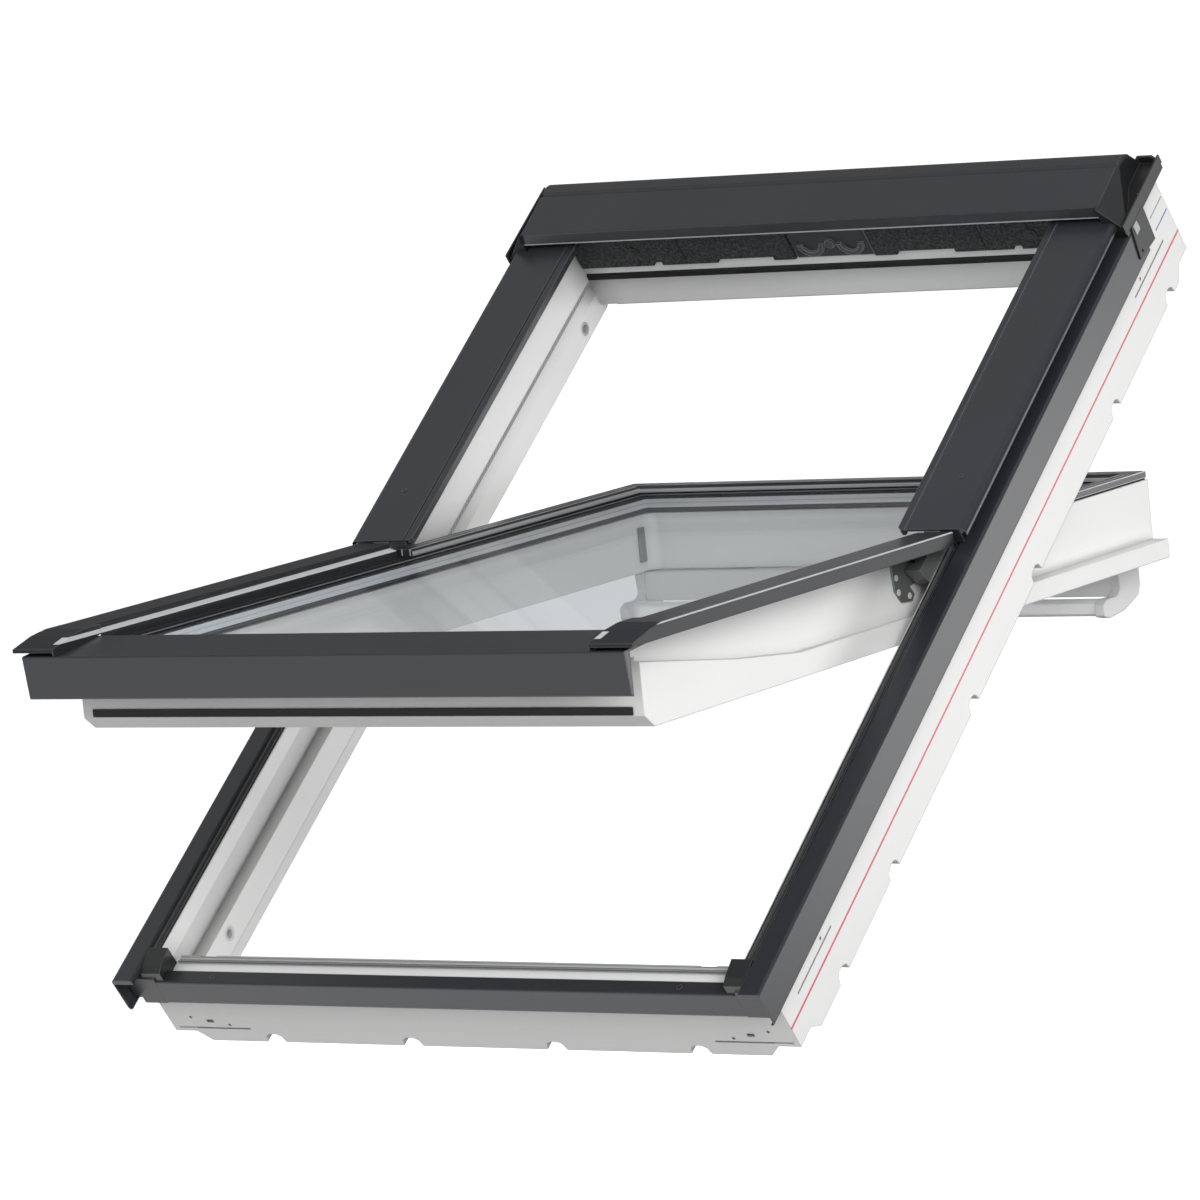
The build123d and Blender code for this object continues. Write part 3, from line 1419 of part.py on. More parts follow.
for label, (piece, pose) in pieces.items():
    placed = piece.moved(pose)
    placed.label = label
    export_step(placed, "parts/" + label + ".step")
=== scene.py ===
from math import cos, pi, radians, sin

import bmesh
import bpy
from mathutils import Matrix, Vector

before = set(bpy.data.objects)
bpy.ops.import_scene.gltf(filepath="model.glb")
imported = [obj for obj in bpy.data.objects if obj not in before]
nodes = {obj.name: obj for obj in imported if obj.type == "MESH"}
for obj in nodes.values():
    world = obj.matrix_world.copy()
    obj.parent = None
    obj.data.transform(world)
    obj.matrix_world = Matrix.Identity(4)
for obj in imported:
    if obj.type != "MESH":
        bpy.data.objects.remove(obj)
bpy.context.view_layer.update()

# Moulded frame: white polyurethane skin over a wooden core, foamed as one ring without seams.
# Its narrow grooves, fixing holes and inner corners carry painted shade. A red line is printed
# along each outer side at the level of the roof battens, with a short blue line and a grey line
# near the top of the side.
COLOUR_MIX_INPUTS, COLOUR_MIX_OUTPUT = (0, 6, 7), 2


def node_in(tree, kind, links=(), **values):
    """Adds a node, sets its properties, fills its inputs and links the sockets given."""
    node = tree.nodes.new(kind)
    for key, value in values.items():
        setattr(node, key, value)
    for place, value in links:
        socket = node.inputs[place]
        if isinstance(value, bpy.types.NodeSocket):
            tree.links.new(value, socket)
        else:
            socket.default_value = value
    return node


def calc(tree, operation, *values):
    """One step of arithmetic on numbers and sockets."""
    return node_in(tree, "ShaderNodeMath", enumerate(values), operation=operation).outputs[0]


def blend_colour(tree, share, first, second):
    """A colour between two, each a plain colour or a socket."""
    ends = [(*end, 1.0) if isinstance(end, tuple) else end for end in (first, second)]
    links = list(zip(COLOUR_MIX_INPUTS, (share, *ends)))
    return node_in(tree, "ShaderNodeMix", links, data_type="RGBA").outputs[COLOUR_MIX_OUTPUT]


def object_place(tree):
    """The object's own coordinates, in metres."""
    return tree.nodes.new("ShaderNodeTexCoord").outputs["Object"]


BEVEL_SAMPLES, SHADE_SAMPLES = 6, 8
GRAIN_DETAIL, GRAIN_DEPTH = 2.0, 0.0002
PATCH_SCALE, PATCH_DETAIL = 6.0, 3.0
EDGE_FLAT, EDGE_TURNED = 0.995, 0.9


def surface_group():
    """Softened edges, fine grain, broad patches, an edge mask for painted highlights and a hollow
    mask for painted shade, for every moulded or coated finish.
    """
    group = bpy.data.node_groups.new("surface", "ShaderNodeTree")
    for label in ("Edge Width", "Grain Scale", "Grain", "Shade Reach"):
        group.interface.new_socket(label, in_out="INPUT", socket_type="NodeSocketFloat")
    group.interface.new_socket("Normal", in_out="OUTPUT", socket_type="NodeSocketVector")
    for label in ("Patch", "Edge", "Painted Shade"):
        group.interface.new_socket(label, in_out="OUTPUT", socket_type="NodeSocketFloat")
    given = group.nodes.new("NodeGroupInput").outputs
    result = group.nodes.new("NodeGroupOutput").inputs
    place = object_place(group)
    soft = node_in(
        group, "ShaderNodeBevel", [("Radius", given["Edge Width"])], samples=BEVEL_SAMPLES
    ).outputs[0]
    grain = node_in(
        group,
        "ShaderNodeTexNoise",
        [("Vector", place), ("Scale", given["Grain Scale"]), ("Detail", GRAIN_DETAIL)],
    ).outputs[0]
    bump = node_in(
        group,
        "ShaderNodeBump",
        [
            ("Strength", given["Grain"]),
            ("Distance", GRAIN_DEPTH),
            ("Height", grain),
            ("Normal", soft),
        ],
    ).outputs[0]
    patch = node_in(
        group,
        "ShaderNodeTexNoise",
        [("Vector", place), ("Scale", PATCH_SCALE), ("Detail", PATCH_DETAIL)],
    ).outputs[0]
    flat = group.nodes.new("ShaderNodeNewGeometry").outputs["True Normal"]
    turn = node_in(
        group, "ShaderNodeVectorMath", [(0, soft), (1, flat)], operation="DOT_PRODUCT"
    ).outputs["Value"]
    edge = node_in(
        group,
        "ShaderNodeMapRange",
        [("Value", turn), ("From Min", EDGE_FLAT), ("From Max", EDGE_TURNED)],
    ).outputs[0]
    open_sky = node_in(
        group,
        "ShaderNodeAmbientOcclusion",
        [("Distance", given["Shade Reach"])],
        samples=SHADE_SAMPLES,
    ).outputs["AO"]
    group.links.new(bump, result["Normal"])
    group.links.new(patch, result["Patch"])
    group.links.new(edge, result["Edge"])
    # Painted shade: this mask is one where nearby surfaces close off the open sky, and darkens any
    # colour laid with it.
    group.links.new(calc(group, "SUBTRACT", 1.0, open_sky), result["Painted Shade"])
    return group


surface = surface_group()


def finish(
    name,
    dark,
    light,
    rough,
    edge_width,
    grain,
    grain_scale=900.0,
    shade_reach=0.006,
    metallic=0.0,
    shine=0.5,
):
    """A material of two close shades, with the surface group at hand for what it adds."""
    material = bpy.data.materials.new(name)
    material.use_nodes = True
    tree = material.node_tree
    shader = tree.nodes["Principled BSDF"]
    skin = node_in(tree, "ShaderNodeGroup", node_tree=surface)
    skin.inputs["Edge Width"].default_value = edge_width
    skin.inputs["Grain"].default_value = grain
    skin.inputs["Grain Scale"].default_value = grain_scale
    skin.inputs["Shade Reach"].default_value = shade_reach
    colour = blend_colour(tree, skin.outputs["Patch"], dark, light)
    tree.links.new(colour, shader.inputs["Base Color"])
    tree.links.new(skin.outputs["Normal"], shader.inputs["Normal"])
    shader.inputs["Roughness"].default_value = rough
    shader.inputs["Metallic"].default_value = metallic
    shader.inputs["Specular IOR Level"].default_value = shine
    return material, tree, shader, skin.outputs, colour


def dress(material, slot, *names):
    """Gives pieces a material. The slot they would take their finish from is not used."""
    for name in names:
        node = nodes[name]
        node.data.materials.clear()
        node.data.materials.append(material)


PIVOT_SLOPE, PIVOT_HEIGHT = 0.6015, 0.1055
PIVOT_Y, PIVOT_Z = 0.350725, 0.499924
FRAME_TURN, SASH_TURN = radians(45.0), radians(9.0)


def laid(tree, turn):
    """Distance across, up the slope and out of the roof, for pieces that lie at a turn."""
    across, inward, upward = node_in(
        tree, "ShaderNodeSeparateXYZ", [("Vector", object_place(tree))]
    ).outputs
    inward = calc(tree, "SUBTRACT", inward, PIVOT_Y)
    upward = calc(tree, "SUBTRACT", upward, PIVOT_Z)
    along = calc(tree, "MULTIPLY_ADD", inward, cos(turn), PIVOT_SLOPE)
    along = calc(tree, "MULTIPLY_ADD", upward, sin(turn), along)
    out = calc(tree, "MULTIPLY_ADD", inward, -sin(turn), PIVOT_HEIGHT)
    out = calc(tree, "MULTIPLY_ADD", upward, cos(turn), out)
    return calc(tree, "ABSOLUTE", across), along, out


def past(tree, value, limit):
    """A mask that is one past a limit."""
    return calc(tree, "GREATER_THAN", value, limit)


def short_of(tree, value, limit):
    """A mask that is one short of a limit."""
    return calc(tree, "LESS_THAN", value, limit)


def both(tree, first, second):
    """A mask that is one where two masks meet."""
    return calc(tree, "MULTIPLY", first, second)


def either(tree, first, second):
    """A mask that is one where either mask is."""
    return calc(tree, "MAXIMUM", first, second)


def band(tree, value, limits):
    """A mask that is one between two limits."""
    low, high = limits
    return both(tree, past(tree, value, low), short_of(tree, value, high))


def paint(tree, shader, colour, mask, share, coat):
    """Lays a share of a coat over the colour where the mask is, and shows the result."""
    colour = blend_colour(tree, calc(tree, "MULTIPLY", mask, share), colour, coat)
    tree.links.new(colour, shader.inputs["Base Color"])
    return colour


WHITE_DARK, WHITE_LIGHT = (0.79, 0.79, 0.785), (0.84, 0.838, 0.832)
PAINTED_SHADE_GREY = (0.1, 0.1, 0.1)
NOTCH_ACROSS, NOTCH_OUT, NOTCH_LOSS = 0.36, -0.015, 0.7


def moulding(name, turn, shade_reach, shade_share):
    """White satin skin with painted shade in its grooves, holes and corners, less of it in the
    notches below.
    """
    material, tree, shader, skin, colour = finish(
        name,
        dark=WHITE_DARK,
        light=WHITE_LIGHT,
        rough=0.36,
        edge_width=0.0018,
        grain=0.02,
        shade_reach=shade_reach,
    )
    across, along, out = laid(tree, turn)
    notches = both(tree, past(tree, across, NOTCH_ACROSS), short_of(tree, out, NOTCH_OUT))
    share = calc(tree, "MULTIPLY_ADD", notches, -NOTCH_LOSS * shade_share, shade_share)
    # Painted shade: grey laid into the hollows, with less of it in the notches.
    colour = paint(tree, shader, colour, skin["Painted Shade"], share, PAINTED_SHADE_GREY)
    return material, tree, shader, colour, (across, along, out)


OUTER_SIDE = 0.3897
RED_LINE, RED = (-0.0014, 0.0014), (0.66, 0.06, 0.08)
SHORT_LINES = (1.139, 1.175)
BLUE_LINE, BLUE = (0.033, 0.035), (0.09, 0.1, 0.45)
GREY_LINE, GREY = (0.051, 0.053), (0.3, 0.31, 0.32)
# The frame's painted shade reaches far and darkens its inner walls and the corners under the sash.
white, tree, shader, colour, (across, along, out) = moulding(
    "frame_moulding", FRAME_TURN, shade_reach=0.04, shade_share=0.8
)
outside = past(tree, across, OUTER_SIDE)
short_lines = both(tree, outside, band(tree, along, SHORT_LINES))
colour = paint(tree, shader, colour, both(tree, outside, band(tree, out, RED_LINE)), 1.0, RED)
colour = paint(tree, shader, colour, both(tree, short_lines, band(tree, out, BLUE_LINE)), 1.0, BLUE)
paint(tree, shader, colour, both(tree, short_lines, band(tree, out, GREY_LINE)), 1.0, GREY)
dress(white, "white_moulding", "frame")

# Sash: the same white moulding round a wooden core, one ring with a rebate for the glass.
# It is hung in the frame by its two hinge arms and has no printed lines.
# The sash gets painted shade of a shorter reach in its grooves and corners.
sash_white, *_ = moulding("sash_moulding", SASH_TURN, shade_reach=0.012, shade_share=0.5)
dress(sash_white, "white_moulding", "sash")

# Cladding of the frame: aluminium sheet with a charcoal powder coat, folded and then screwed down
# over the sill, the jambs and the head. The coat is satin, with a pale painted highlight on its
# edges and folds.
COAT_DARK, COAT_LIGHT = (0.0205, 0.0217, 0.0262), (0.0272, 0.0288, 0.0342)
COAT_HIGHLIGHT_SHARE, COAT_HIGHLIGHT = 0.3, (0.3, 0.31, 0.32)


def powder_coat(name, shine=0.4):
    """Charcoal powder coat, with a pale painted highlight along the edges and folds."""
    material, tree, shader, skin, colour = finish(
        name,
        dark=COAT_DARK,
        light=COAT_LIGHT,
        rough=0.33,
        edge_width=0.0016,
        grain=0.05,
        grain_scale=1500.0,
        shine=shine,
    )
    # Painted highlight: a pale share along the edges and folds.
    colour = paint(tree, shader, colour, skin["Edge"], COAT_HIGHLIGHT_SHARE, COAT_HIGHLIGHT)
    return material, tree, shader, colour


coat, *_ = powder_coat("cladding")
dress(
    coat,
    "cladding",
    "side_cladding_left",
    "side_cladding_right",
    "sill_cladding",
    "upper_cover_left",
    "upper_cover_right",
    "inner_trim_left",
    "inner_trim_right",
    "cover_screws",
    "sill_screws",
)

# Hood: the same coated sheet, folded along the head with a groove and a rounded back.
# It is held by the end caps, and the turned edge of its front lip carries a pale painted highlight.
LIP, LIP_HIGHLIGHT_SHARE, LIP_HIGHLIGHT = (0.1105, 0.1125), 0.7, (0.6, 0.61, 0.62)
hood_coat, tree, shader, colour = powder_coat("hood_coat")
across, along, out = laid(tree, FRAME_TURN)
# Painted highlight along the turned edge of the lip.
paint(tree, shader, colour, band(tree, out, LIP), LIP_HIGHLIGHT_SHARE, LIP_HIGHLIGHT)
dress(hood_coat, "cladding", "hood")

# Covers of the sash: coated sheet along the lower end and the sides, folded and clipped on.
# The outer fold and the inner shelf of the side covers carry painted highlights as pale lines.
FOLD_ACROSS, FOLD, FOLD_HIGHLIGHT_SHARE, FOLD_HIGHLIGHT = 0.3782, (0.1032, 0.106), 0.8, (0.7, 0.71, 0.72)
SHELF_ACROSS, SHELF, SHELF_HIGHLIGHT_SHARE, SHELF_HIGHLIGHT = 0.3358, (0.0955, 0.1), 0.7, (0.85, 0.86, 0.87)
bar_coat, *_ = powder_coat("bar_coat")
dress(bar_coat, "cladding", "bottom_cover")
side_coat, tree, shader, colour = powder_coat("side_coat", shine=0.12)
across, along, out = laid(tree, SASH_TURN)
fold = both(tree, past(tree, across, FOLD_ACROSS), band(tree, out, FOLD))
shelf = both(tree, short_of(tree, across, SHELF_ACROSS), band(tree, out, SHELF))
# Painted highlights on the outer fold and the inner shelf.
colour = paint(tree, shader, colour, fold, FOLD_HIGHLIGHT_SHARE, FOLD_HIGHLIGHT)
paint(tree, shader, colour, shelf, SHELF_HIGHLIGHT_SHARE, SHELF_HIGHLIGHT)
dress(side_coat, "cladding", "side_cover_left", "side_cover_right")

# Top profile: a pressed and coated U round the upper half of the glass, pushed on its gasket.
# Its inner ridge and edge carry pale painted highlights, and two bright painted highlight lines run
# along its outer side.
RIDGE, RIDGE_END = (0.3175, 0.3195), 1.077
INNER_EDGE, INNER_EDGE_END = 0.3155, 1.079
RIDGE_HIGHLIGHT_SHARE, RIDGE_HIGHLIGHT = 0.6, (0.5, 0.51, 0.52)
TOP_HIGHLIGHT_LINE, LOWER_HIGHLIGHT_LINE, HIGHLIGHT_LINES_ACROSS = (0.0945, 0.0956), (0.088, 0.0887), 0.3364
INNER_HIGHLIGHT_LINE, INNER_HIGHLIGHT_LINE_END = (0.3285, 0.3297), 1.07
HIGHLIGHT_LINE_SHARE, HIGHLIGHT_LINE_PALE = 0.85, (0.8, 0.81, 0.82)
profile_coat, tree, shader, colour = powder_coat("profile_coat")
across, along, out = laid(tree, SASH_TURN)
ridge = both(tree, band(tree, across, RIDGE), short_of(tree, along, RIDGE_END))
edge = both(tree, short_of(tree, across, INNER_EDGE), short_of(tree, along, INNER_EDGE_END))
# Painted highlights on the inner ridge and edge.
colour = paint(tree, shader, colour, either(tree, ridge, edge), RIDGE_HIGHLIGHT_SHARE, RIDGE_HIGHLIGHT)
highlight_lines = either(tree, band(tree, out, TOP_HIGHLIGHT_LINE), band(tree, out, LOWER_HIGHLIGHT_LINE))
highlight_lines = both(tree, highlight_lines, past(tree, across, HIGHLIGHT_LINES_ACROSS))
inner_highlight_line = both(tree, band(tree, across, INNER_HIGHLIGHT_LINE), short_of(tree, along, INNER_HIGHLIGHT_LINE_END))
# Painted highlight lines along the sides of the profile.
paint(tree, shader, colour, either(tree, highlight_lines, inner_highlight_line), HIGHLIGHT_LINE_SHARE, HIGHLIGHT_LINE_PALE)
dress(profile_coat, "cladding", "top_profile")

# Dark mouldings: corner pieces at the ends of the sill, end caps of the hood, side plates and the
# lock case, injected in glass-filled nylon with a fine grain, and clipped or screwed in place.
NYLON_HIGHLIGHT_SHARE, NYLON_HIGHLIGHT = 0.2, (0.2, 0.2, 0.21)
nylon, tree, shader, skin, colour = finish(
    "dark_plastic",
    dark=(0.011, 0.0115, 0.0125),
    light=(0.017, 0.0175, 0.019),
    rough=0.42,
    edge_width=0.0012,
    grain=0.1,
    grain_scale=1200.0,
)
# Painted highlight: a pale share along the edges.
paint(tree, shader, colour, skin["Edge"], NYLON_HIGHLIGHT_SHARE, NYLON_HIGHLIGHT)
dress(
    nylon,
    "dark_plastic",
    "corner_piece_left",
    "corner_piece_right",
    "hood_end_cap_left",
    "hood_end_cap_right",
    "side_plate_left",
    "side_plate_right",
    "lock_case",
    "filter_bosses",
)

# Striker: a dark plate screwed to the head, with two bowed claws that the lock takes hold of.
# The claws are a lighter grey, and their edges carry a paler painted highlight.
CLAW_END, CLAW_GREY = 1.1078, (0.055, 0.057, 0.06)
CLAW_HIGHLIGHT_SHARE, CLAW_HIGHLIGHT = 0.8, (0.4, 0.405, 0.41)
claw_plastic, tree, shader, skin, colour = finish(
    "striker",
    dark=(0.014, 0.0145, 0.016),
    light=(0.022, 0.0225, 0.024),
    rough=0.4,
    edge_width=0.002,
    grain=0.1,
    grain_scale=1200.0,
)
across, along, out = laid(tree, FRAME_TURN)
colour = paint(tree, shader, colour, short_of(tree, along, CLAW_END), 1.0, CLAW_GREY)
# Painted highlight along the claws' edges.
paint(tree, shader, colour, skin["Edge"], CLAW_HIGHLIGHT_SHARE, CLAW_HIGHLIGHT)
dress(claw_plastic, "dark_plastic", "striker")

# Air filters: strips of dark open foam in a coarse weave, cut to length and clipped to the front
# of the head on either side of the striker. Pale flecks show where the cells are open.
FLECK_SCALE, FLECK_LOW, FLECK_HIGH, FLECK_GREY = 300.0, 0.4, 0.7, (0.07, 0.072, 0.075)
foam, tree, shader, skin, colour = finish(
    "filter_foam",
    dark=(0.009, 0.0095, 0.0105),
    light=(0.024, 0.025, 0.027),
    rough=0.85,
    edge_width=0.001,
    grain=0.9,
    grain_scale=420.0,
)
cells = node_in(
    tree, "ShaderNodeTexNoise", [("Vector", object_place(tree)), ("Scale", FLECK_SCALE)]
).outputs[0]
flecks = node_in(
    tree,
    "ShaderNodeMapRange",
    [("Value", cells), ("From Min", FLECK_LOW), ("From Max", FLECK_HIGH)],
).outputs[0]
paint(tree, shader, colour, flecks, 1.0, FLECK_GREY)
dress(foam, "filter_foam", "air_filter_left", "air_filter_right")

# Black gaskets: extruded rubber along the head, under the sash and round the glass,
# pressed into their grooves without glue.
rubber, *_ = finish(
    "rubber",
    dark=(0.006, 0.0062, 0.007),
    light=(0.011, 0.0115, 0.0125),
    rough=0.6,
    edge_width=0.0008,
    grain=0.15,
    grain_scale=1500.0,
    shine=0.3,
)
dress(rubber, "rubber", "head_gasket", "bottom_gasket", "glazing_gasket", "edge_seal")

# Weather rails: black ribbed rubber in the seats of the lower jambs, extruded and pushed in.
# Two of the ribs have pale lines painted along their edges.
FIRST_RIB, SECOND_RIB = (0.3655, 0.3664), (0.3715, 0.3724)
RIB_LINE_SHARE, RIB_LINE_PALE = 0.6, (0.14, 0.145, 0.15)
ribbed, tree, shader, skin, colour = finish(
    "ribbed_rubber",
    dark=(0.008, 0.0083, 0.009),
    light=(0.013, 0.0135, 0.0145),
    rough=0.55,
    edge_width=0.0008,
    grain=0.15,
    grain_scale=1500.0,
)
across, along, out = laid(tree, FRAME_TURN)
ribs = either(tree, band(tree, across, FIRST_RIB), band(tree, across, SECOND_RIB))
paint(tree, shader, colour, ribs, RIB_LINE_SHARE, RIB_LINE_PALE)
dress(ribbed, "rubber", "weather_rail_left", "weather_rail_right")

# Grey gaskets: softer rubber strips on the sill and under the steps of the upper jambs,
# extruded with fine flutes and pushed into a groove. The flutes are drawn as dark lines of painted
# shade.
FLUTE_PITCH, FLUTE_WIDTH = 0.0022, 0.0007
FLUTE_SHARE, FLUTE_SHADE = 0.75, (0.05, 0.052, 0.055)
grey_rubber, tree, shader, skin, colour = finish(
    "grey_rubber",
    dark=(0.36, 0.365, 0.37),
    light=(0.44, 0.445, 0.45),
    rough=0.6,
    edge_width=0.0008,
    grain=0.12,
    grain_scale=1500.0,
)
across, along, out = laid(tree, FRAME_TURN)
flute = calc(tree, "PINGPONG", calc(tree, "SUBTRACT", along, out), FLUTE_PITCH)
# Painted shade: dark lines where the flutes fall into shade.
paint(tree, shader, colour, short_of(tree, flute, FLUTE_WIDTH), FLUTE_SHARE, FLUTE_SHADE)
dress(grey_rubber, "grey_rubber", "sill_gasket", "jamb_gasket_left", "jamb_gasket_right")

# Hinges and small fittings: die-cast and pressed zinc with a dull, slightly green passivation.
# The cases are let into the jambs, the arms are riveted to the sash, and edges carry a bright
# painted highlight.
ZINC_HIGHLIGHT_SHARE, ZINC_HIGHLIGHT = 0.5, (0.5, 0.51, 0.5)
zinc, tree, shader, skin, colour = finish(
    "zinc",
    dark=(0.11, 0.125, 0.118),
    light=(0.2, 0.215, 0.205),
    rough=0.4,
    edge_width=0.0008,
    grain=0.2,
    grain_scale=700.0,
    metallic=0.35,
)
# Painted highlight: a pale share along the edges.
paint(tree, shader, colour, skin["Edge"], ZINC_HIGHLIGHT_SHARE, ZINC_HIGHLIGHT)
dress(
    zinc,
    "zinc",
    "hinge_case_left",
    "hinge_case_right",
    "hinge_arm_left",
    "hinge_arm_right",
    "bolt_plate",
    "flap_lugs",
)

# Rivets of the hinge arms: round steel heads with bright zinc plate.
# They are pressed through the arm into the side of the sash.
rivet, *_ = finish(
    "rivet_plate",
    dark=(0.72, 0.73, 0.72),
    light=(0.82, 0.83, 0.82),
    rough=0.3,
    edge_width=0.0005,
    grain=0.1,
    metallic=0.2,
)
dress(rivet, "zinc", "hinge_rivets")

# Bright steel: screws in the pockets of the hood end caps, and the barrel bolt that holds the
# sash for airing and for cleaning. Both are turned from bar and plated.
steel, *_ = finish(
    "bright_steel",
    dark=(0.6, 0.605, 0.61),
    light=(0.72, 0.725, 0.73),
    rough=0.3,
    edge_width=0.0005,
    grain=0.1,
    metallic=1.0,
)
dress(steel, "bright_steel", "barrel_bolt", "cap_screws")

# Spacer: a folded metal bar between the panes, with a crease along its middle, drawn as a line of
# painted shade.
# It is bonded to both panes with a dark line of butyl.
BARE_METAL, BUTYL = (0.0695, 0.0795), (0.02, 0.022, 0.024)
CREASE, CREASE_SHARE, CREASE_SHADE = (0.0742, 0.0752), 0.5, (0.2, 0.21, 0.22)
spacer_metal, tree, shader, skin, colour = finish(
    "spacer",
    dark=(0.5, 0.53, 0.55),
    light=(0.62, 0.65, 0.67),
    rough=0.35,
    edge_width=0.0005,
    grain=0.1,
    metallic=0.3,
)
across, along, out = laid(tree, SASH_TURN)
bonded = calc(tree, "SUBTRACT", 1.0, band(tree, out, BARE_METAL))
# Painted shade: a dark line along the crease.
colour = paint(tree, shader, colour, band(tree, out, CREASE), CREASE_SHARE, CREASE_SHADE)
paint(tree, shader, colour, bonded, 1.0, BUTYL)
dress(spacer_metal, "bright_steel", "spacer")

# Panes: two sheets of clear float glass with a faint cold tint and a coat against reflections,
# sealed to the spacer. Light passes through them to the pieces below, and the face towards the
# room is painted dark where other pieces mirror it, a painted shade in their reflections.
ROOM_FACE, ROOM_FACE_SHADE = 0.0625, (0.05, 0.052, 0.054)
TINT_DARK, TINT_LIGHT = (0.935, 0.955, 0.968), (0.955, 0.972, 0.98)
CLOUD_SCALE, CLOUD_DETAIL = 2.0, 1.0
LIGHT_THROUGH = 0.8
GLASS_IOR = 1.015


def mirrored_ray(tree, light):
    """A mask for rays that come from a mirroring surface, not through glass."""
    mirrored = calc(tree, "SUBTRACT", light["Is Glossy Ray"], light["Is Transmission Ray"])
    return calc(tree, "MAXIMUM", mirrored, 0.0)


glass = bpy.data.materials.new("glass")
glass.use_nodes = True
tree = glass.node_tree
shader = tree.nodes["Principled BSDF"]
cloud = node_in(
    tree,
    "ShaderNodeTexNoise",
    [("Vector", object_place(tree)), ("Scale", CLOUD_SCALE), ("Detail", CLOUD_DETAIL)],
).outputs[0]
tint = blend_colour(tree, cloud, TINT_DARK, TINT_LIGHT)
light = tree.nodes.new("ShaderNodeLightPath").outputs
across, along, out = laid(tree, SASH_TURN)
inside = tree.nodes.new("ShaderNodeNewGeometry").outputs["Backfacing"]
room_face = calc(tree, "SUBTRACT", short_of(tree, out, ROOM_FACE), inside)
room_face = calc(tree, "MAXIMUM", room_face, 0.0)
# Painted shade: the face towards the room shows dark in reflections on other pieces.
paint(tree, shader, tint, mirrored_ray(tree, light), room_face, ROOM_FACE_SHADE)
passing = either(tree, light["Is Shadow Ray"], light["Is Diffuse Ray"])
shade = calc(tree, "MULTIPLY_ADD", passing, -LIGHT_THROUGH, 1.0)
tree.links.new(shade, shader.inputs["Alpha"])
shader.inputs["Roughness"].default_value = 0.0
shader.inputs["IOR"].default_value = GLASS_IOR
shader.inputs["Transmission Weight"].default_value = 1.0
dress(glass, "glass", "inner_pane", "outer_pane")

# Bushes of the barrel bolt and pads on the side plates: light grey moulded plastic,
# pressed into holes of the frame. The lower bush is paler than the rest.
for name, dark, light_grey, pieces in (
    (
        "bush_plastic",
        (0.4, 0.405, 0.41),
        (0.5, 0.505, 0.51),
        ("bolt_bush_upper", "plate_pad_left", "plate_pad_right"),
    ),
    ("pale_bush", (0.6, 0.6, 0.6), (0.68, 0.68, 0.68), ("bolt_bush_lower",)),
):
    bush, *_ = finish(name, dark, light_grey, rough=0.5, edge_width=0.0006, grain=0.1)
    dress(bush, "bush_plastic", *pieces)

# Ventilation flap and the arms of the control bar: off-white mouldings with a satin skin.
# The flap hangs on lugs at the upper end of the sash, and the arms are screwed to it.
flap_white, *_ = finish(
    "flap_white",
    dark=(0.66, 0.662, 0.66),
    light=(0.74, 0.742, 0.74),
    rough=0.4,
    edge_width=0.002,
    grain=0.03,
)
dress(flap_white, "flap_white", "vent_flap", "bar_bracket_left", "bar_bracket_right")

# Control bar: an extruded aluminium tube with a satin anodised skin.
# It is held at both ends by the arms, and pulling it opens the flap and then the sash.
bar_metal, *_ = finish(
    "bar_metal",
    dark=(0.84, 0.85, 0.86),
    light=(0.9, 0.91, 0.92),
    rough=0.35,
    edge_width=0.002,
    grain=0.08,
    grain_scale=1200.0,
    metallic=0.15,
)
dress(bar_metal, "bar_metal", "control_bar")

# Floor: a pale paper sweep that runs well below the window and turns up behind it.
# It looks white to the camera, gives little light back to the window, and can't be seen from
# behind, so that the window shows from every side.
FLOOR_LEVEL, FLOOR_HALF, FLOOR_FRONT = -0.35, 14.0, -9.0
BEND_START, BEND_RADIUS, BEND_STEPS = 4.0, 3.0, 12
WALL_TOP = 12.0
WINDOW_FRONT = 0.2
SEEN, SEEN_THROUGH_GLASS = (0.9, 0.9, 0.9), (0.5, 0.5, 0.5)
MIRRORED_FRONT, LIGHT_FROM_FRONT = (1.5, 1.5, 1.5), (0.09, 0.09, 0.09)
sweep = bmesh.new()
first, last = (
    sweep.verts.new((-FLOOR_HALF, inward, FLOOR_LEVEL)) for inward in (FLOOR_FRONT, BEND_START)
)
sweep.edges.new((first, last))
turned = bmesh.ops.spin(
    sweep,
    geom=[last],
    cent=(0.0, BEND_START, FLOOR_LEVEL + BEND_RADIUS),
    axis=(1.0, 0.0, 0.0),
    angle=pi / 2,
    steps=BEND_STEPS,
)
bend_end = next(item for item in turned["geom_last"] if isinstance(item, bmesh.types.BMVert))
wall_end = sweep.verts.new((-FLOOR_HALF, bend_end.co.y, WALL_TOP))
sweep.edges.new((bend_end, wall_end))
drawn = bmesh.ops.extrude_edge_only(sweep, edges=sweep.edges[:])
moved = [item for item in drawn["geom"] if isinstance(item, bmesh.types.BMVert)]
bmesh.ops.translate(sweep, verts=moved, vec=(2 * FLOOR_HALF, 0.0, 0.0))
for face in sweep.faces:
    face.smooth = True
sweep_mesh = bpy.data.meshes.new("floor")
sweep.to_mesh(sweep_mesh)
sweep.free()
floor = bpy.data.objects.new("floor", sweep_mesh)
bpy.context.scene.collection.objects.link(floor)
paper, tree, shader, skin, colour = finish(
    "paper",
    dark=(0.28, 0.28, 0.28),
    light=(0.29, 0.29, 0.29),
    rough=0.9,
    edge_width=0.001,
    grain=0.0,
)
light = tree.nodes.new("ShaderNodeLightPath").outputs
inward = node_in(tree, "ShaderNodeSeparateXYZ", [("Vector", object_place(tree))]).outputs["Y"]
nearer = short_of(tree, inward, WINDOW_FRONT)
front = both(tree, mirrored_ray(tree, light), nearer)
under = both(tree, light["Is Diffuse Ray"], nearer)
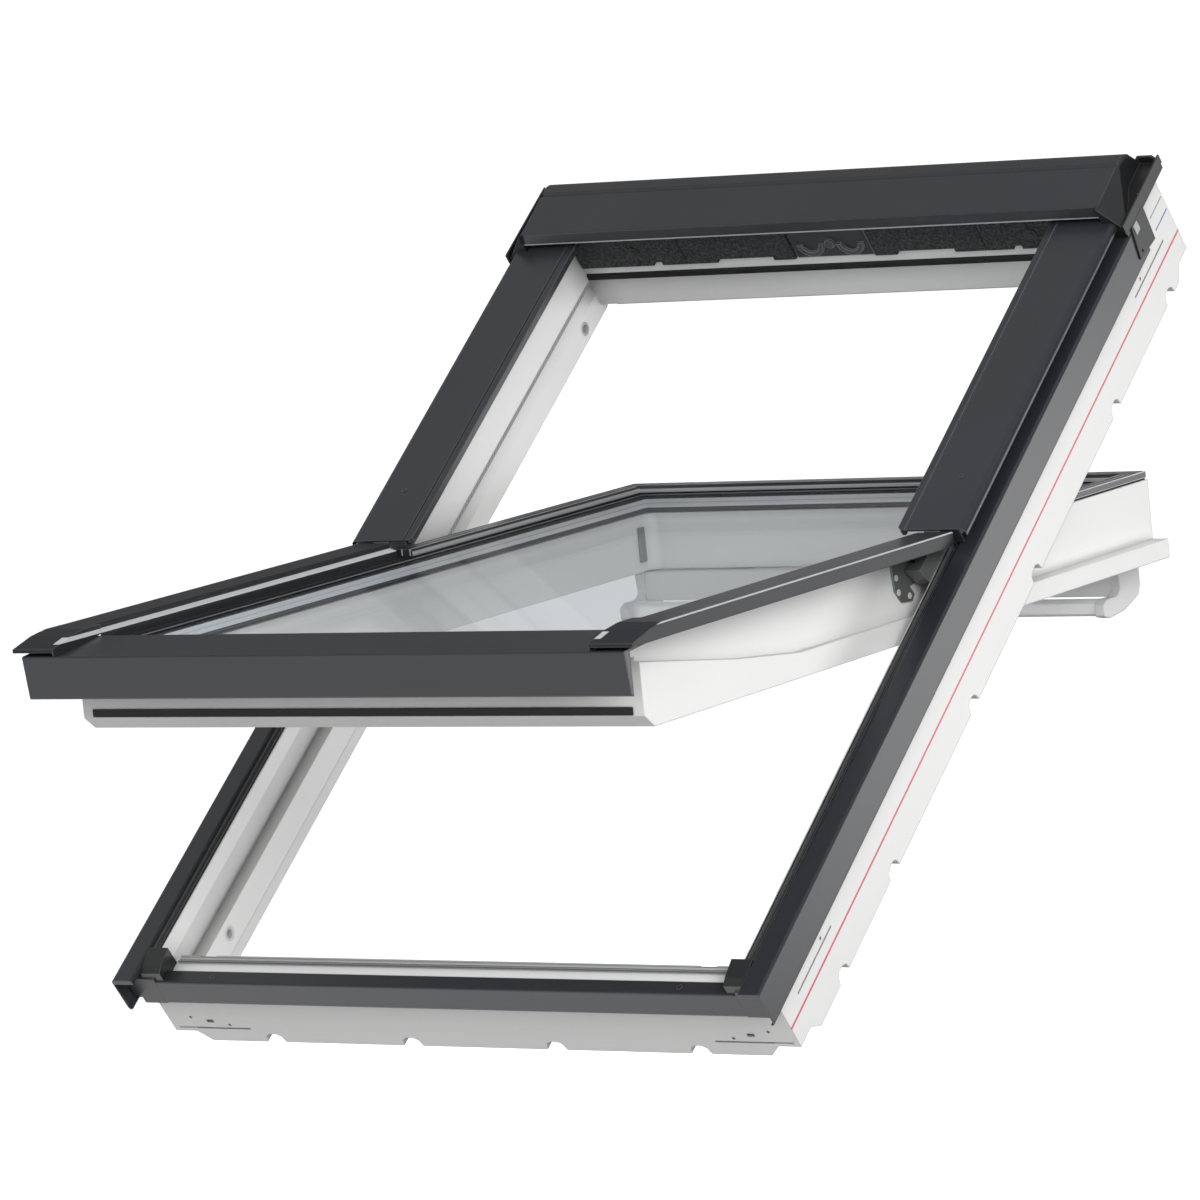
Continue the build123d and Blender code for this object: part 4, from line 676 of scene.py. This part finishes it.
# Painted light and shade: the floor looks darker through the glass, and its part in front of the
# window glows brightly in reflections and faintly lights the window's lower faces.
glow = blend_colour(tree, light["Is Camera Ray"], (0.0, 0.0, 0.0), SEEN)
glow = blend_colour(tree, light["Is Transmission Ray"], glow, SEEN_THROUGH_GLASS)
glow = blend_colour(tree, front, glow, MIRRORED_FRONT)
glow = blend_colour(tree, under, glow, LIGHT_FROM_FRONT)
tree.links.new(glow, shader.inputs["Emission Color"])
shader.inputs["Emission Strength"].default_value = 1.0
behind = tree.nodes.new("ShaderNodeNewGeometry").outputs["Backfacing"]
tree.links.new(calc(tree, "SUBTRACT", 1.0, behind), shader.inputs["Alpha"])
sweep_mesh.materials.append(paper)

# Studio light: an even room that looks white to the camera, with soft square lamps round the
# window: one on the right, one high and one low in front, and weaker ones on the left and behind.
ROOM_LIGHT, ROOM_SEEN = (0.6, 0.6, 0.6), (1.0, 1.0, 1.0)
AIM = Vector((0.0, 0.4, 0.4))
world = bpy.data.worlds.new("studio")
bpy.context.scene.world = world
world.use_nodes = True
tree = world.node_tree
light = tree.nodes.new("ShaderNodeLightPath").outputs
room = blend_colour(tree, light["Is Camera Ray"], ROOM_LIGHT, ROOM_SEEN)
tree.links.new(room, tree.nodes["Background"].inputs["Color"])


def soft_light(name, spot, size, power):
    """A square lamp that faces the middle of the window and isn't seen itself."""
    lamp = bpy.data.lights.new(name, "AREA")
    lamp.size = size
    lamp.energy = power
    item = bpy.data.objects.new(name, lamp)
    item.location = spot
    item.rotation_euler = (AIM - Vector(spot)).to_track_quat("-Z", "Y").to_euler()
    item.visible_camera = False
    item.visible_transmission = False
    bpy.context.scene.collection.objects.link(item)


soft_light("right", spot=(3.4, 4.9, 0.25), size=1.9, power=60.0)
soft_light("front", spot=(4.6, -3.2, 2.6), size=3.0, power=215.0)
soft_light("low", spot=(1.0, -6.0, 0.2), size=2.0, power=45.0)
soft_light("left", spot=(-5.0, 1.8, 0.4), size=3.0, power=130.0)
soft_light("back", spot=(-2.0, 5.5, 0.3), size=2.4, power=170.0)

# Camera: a long lens about level with the middle of the window, from the right front.
# Its place, turn and focal length come from fitting the frame's corners to the photograph.
CAMERA_PLACE = (4.03342, -5.91456, 0.4174)
CAMERA_TURN = (90.118, 0.73957, 33.16954)
FOCAL_LENGTH, SENSOR_WIDTH, FARTHEST = 208.2478, 36.0, 100.0
lens = bpy.data.cameras.new("camera")
lens.lens = FOCAL_LENGTH
lens.sensor_width = SENSOR_WIDTH
lens.clip_end = FARTHEST
camera = bpy.data.objects.new("camera", lens)
camera.location = CAMERA_PLACE
camera.rotation_euler = [radians(angle) for angle in CAMERA_TURN]
bpy.context.scene.collection.objects.link(camera)
bpy.context.scene.camera = camera
bpy.context.scene.view_settings.view_transform = "Standard"
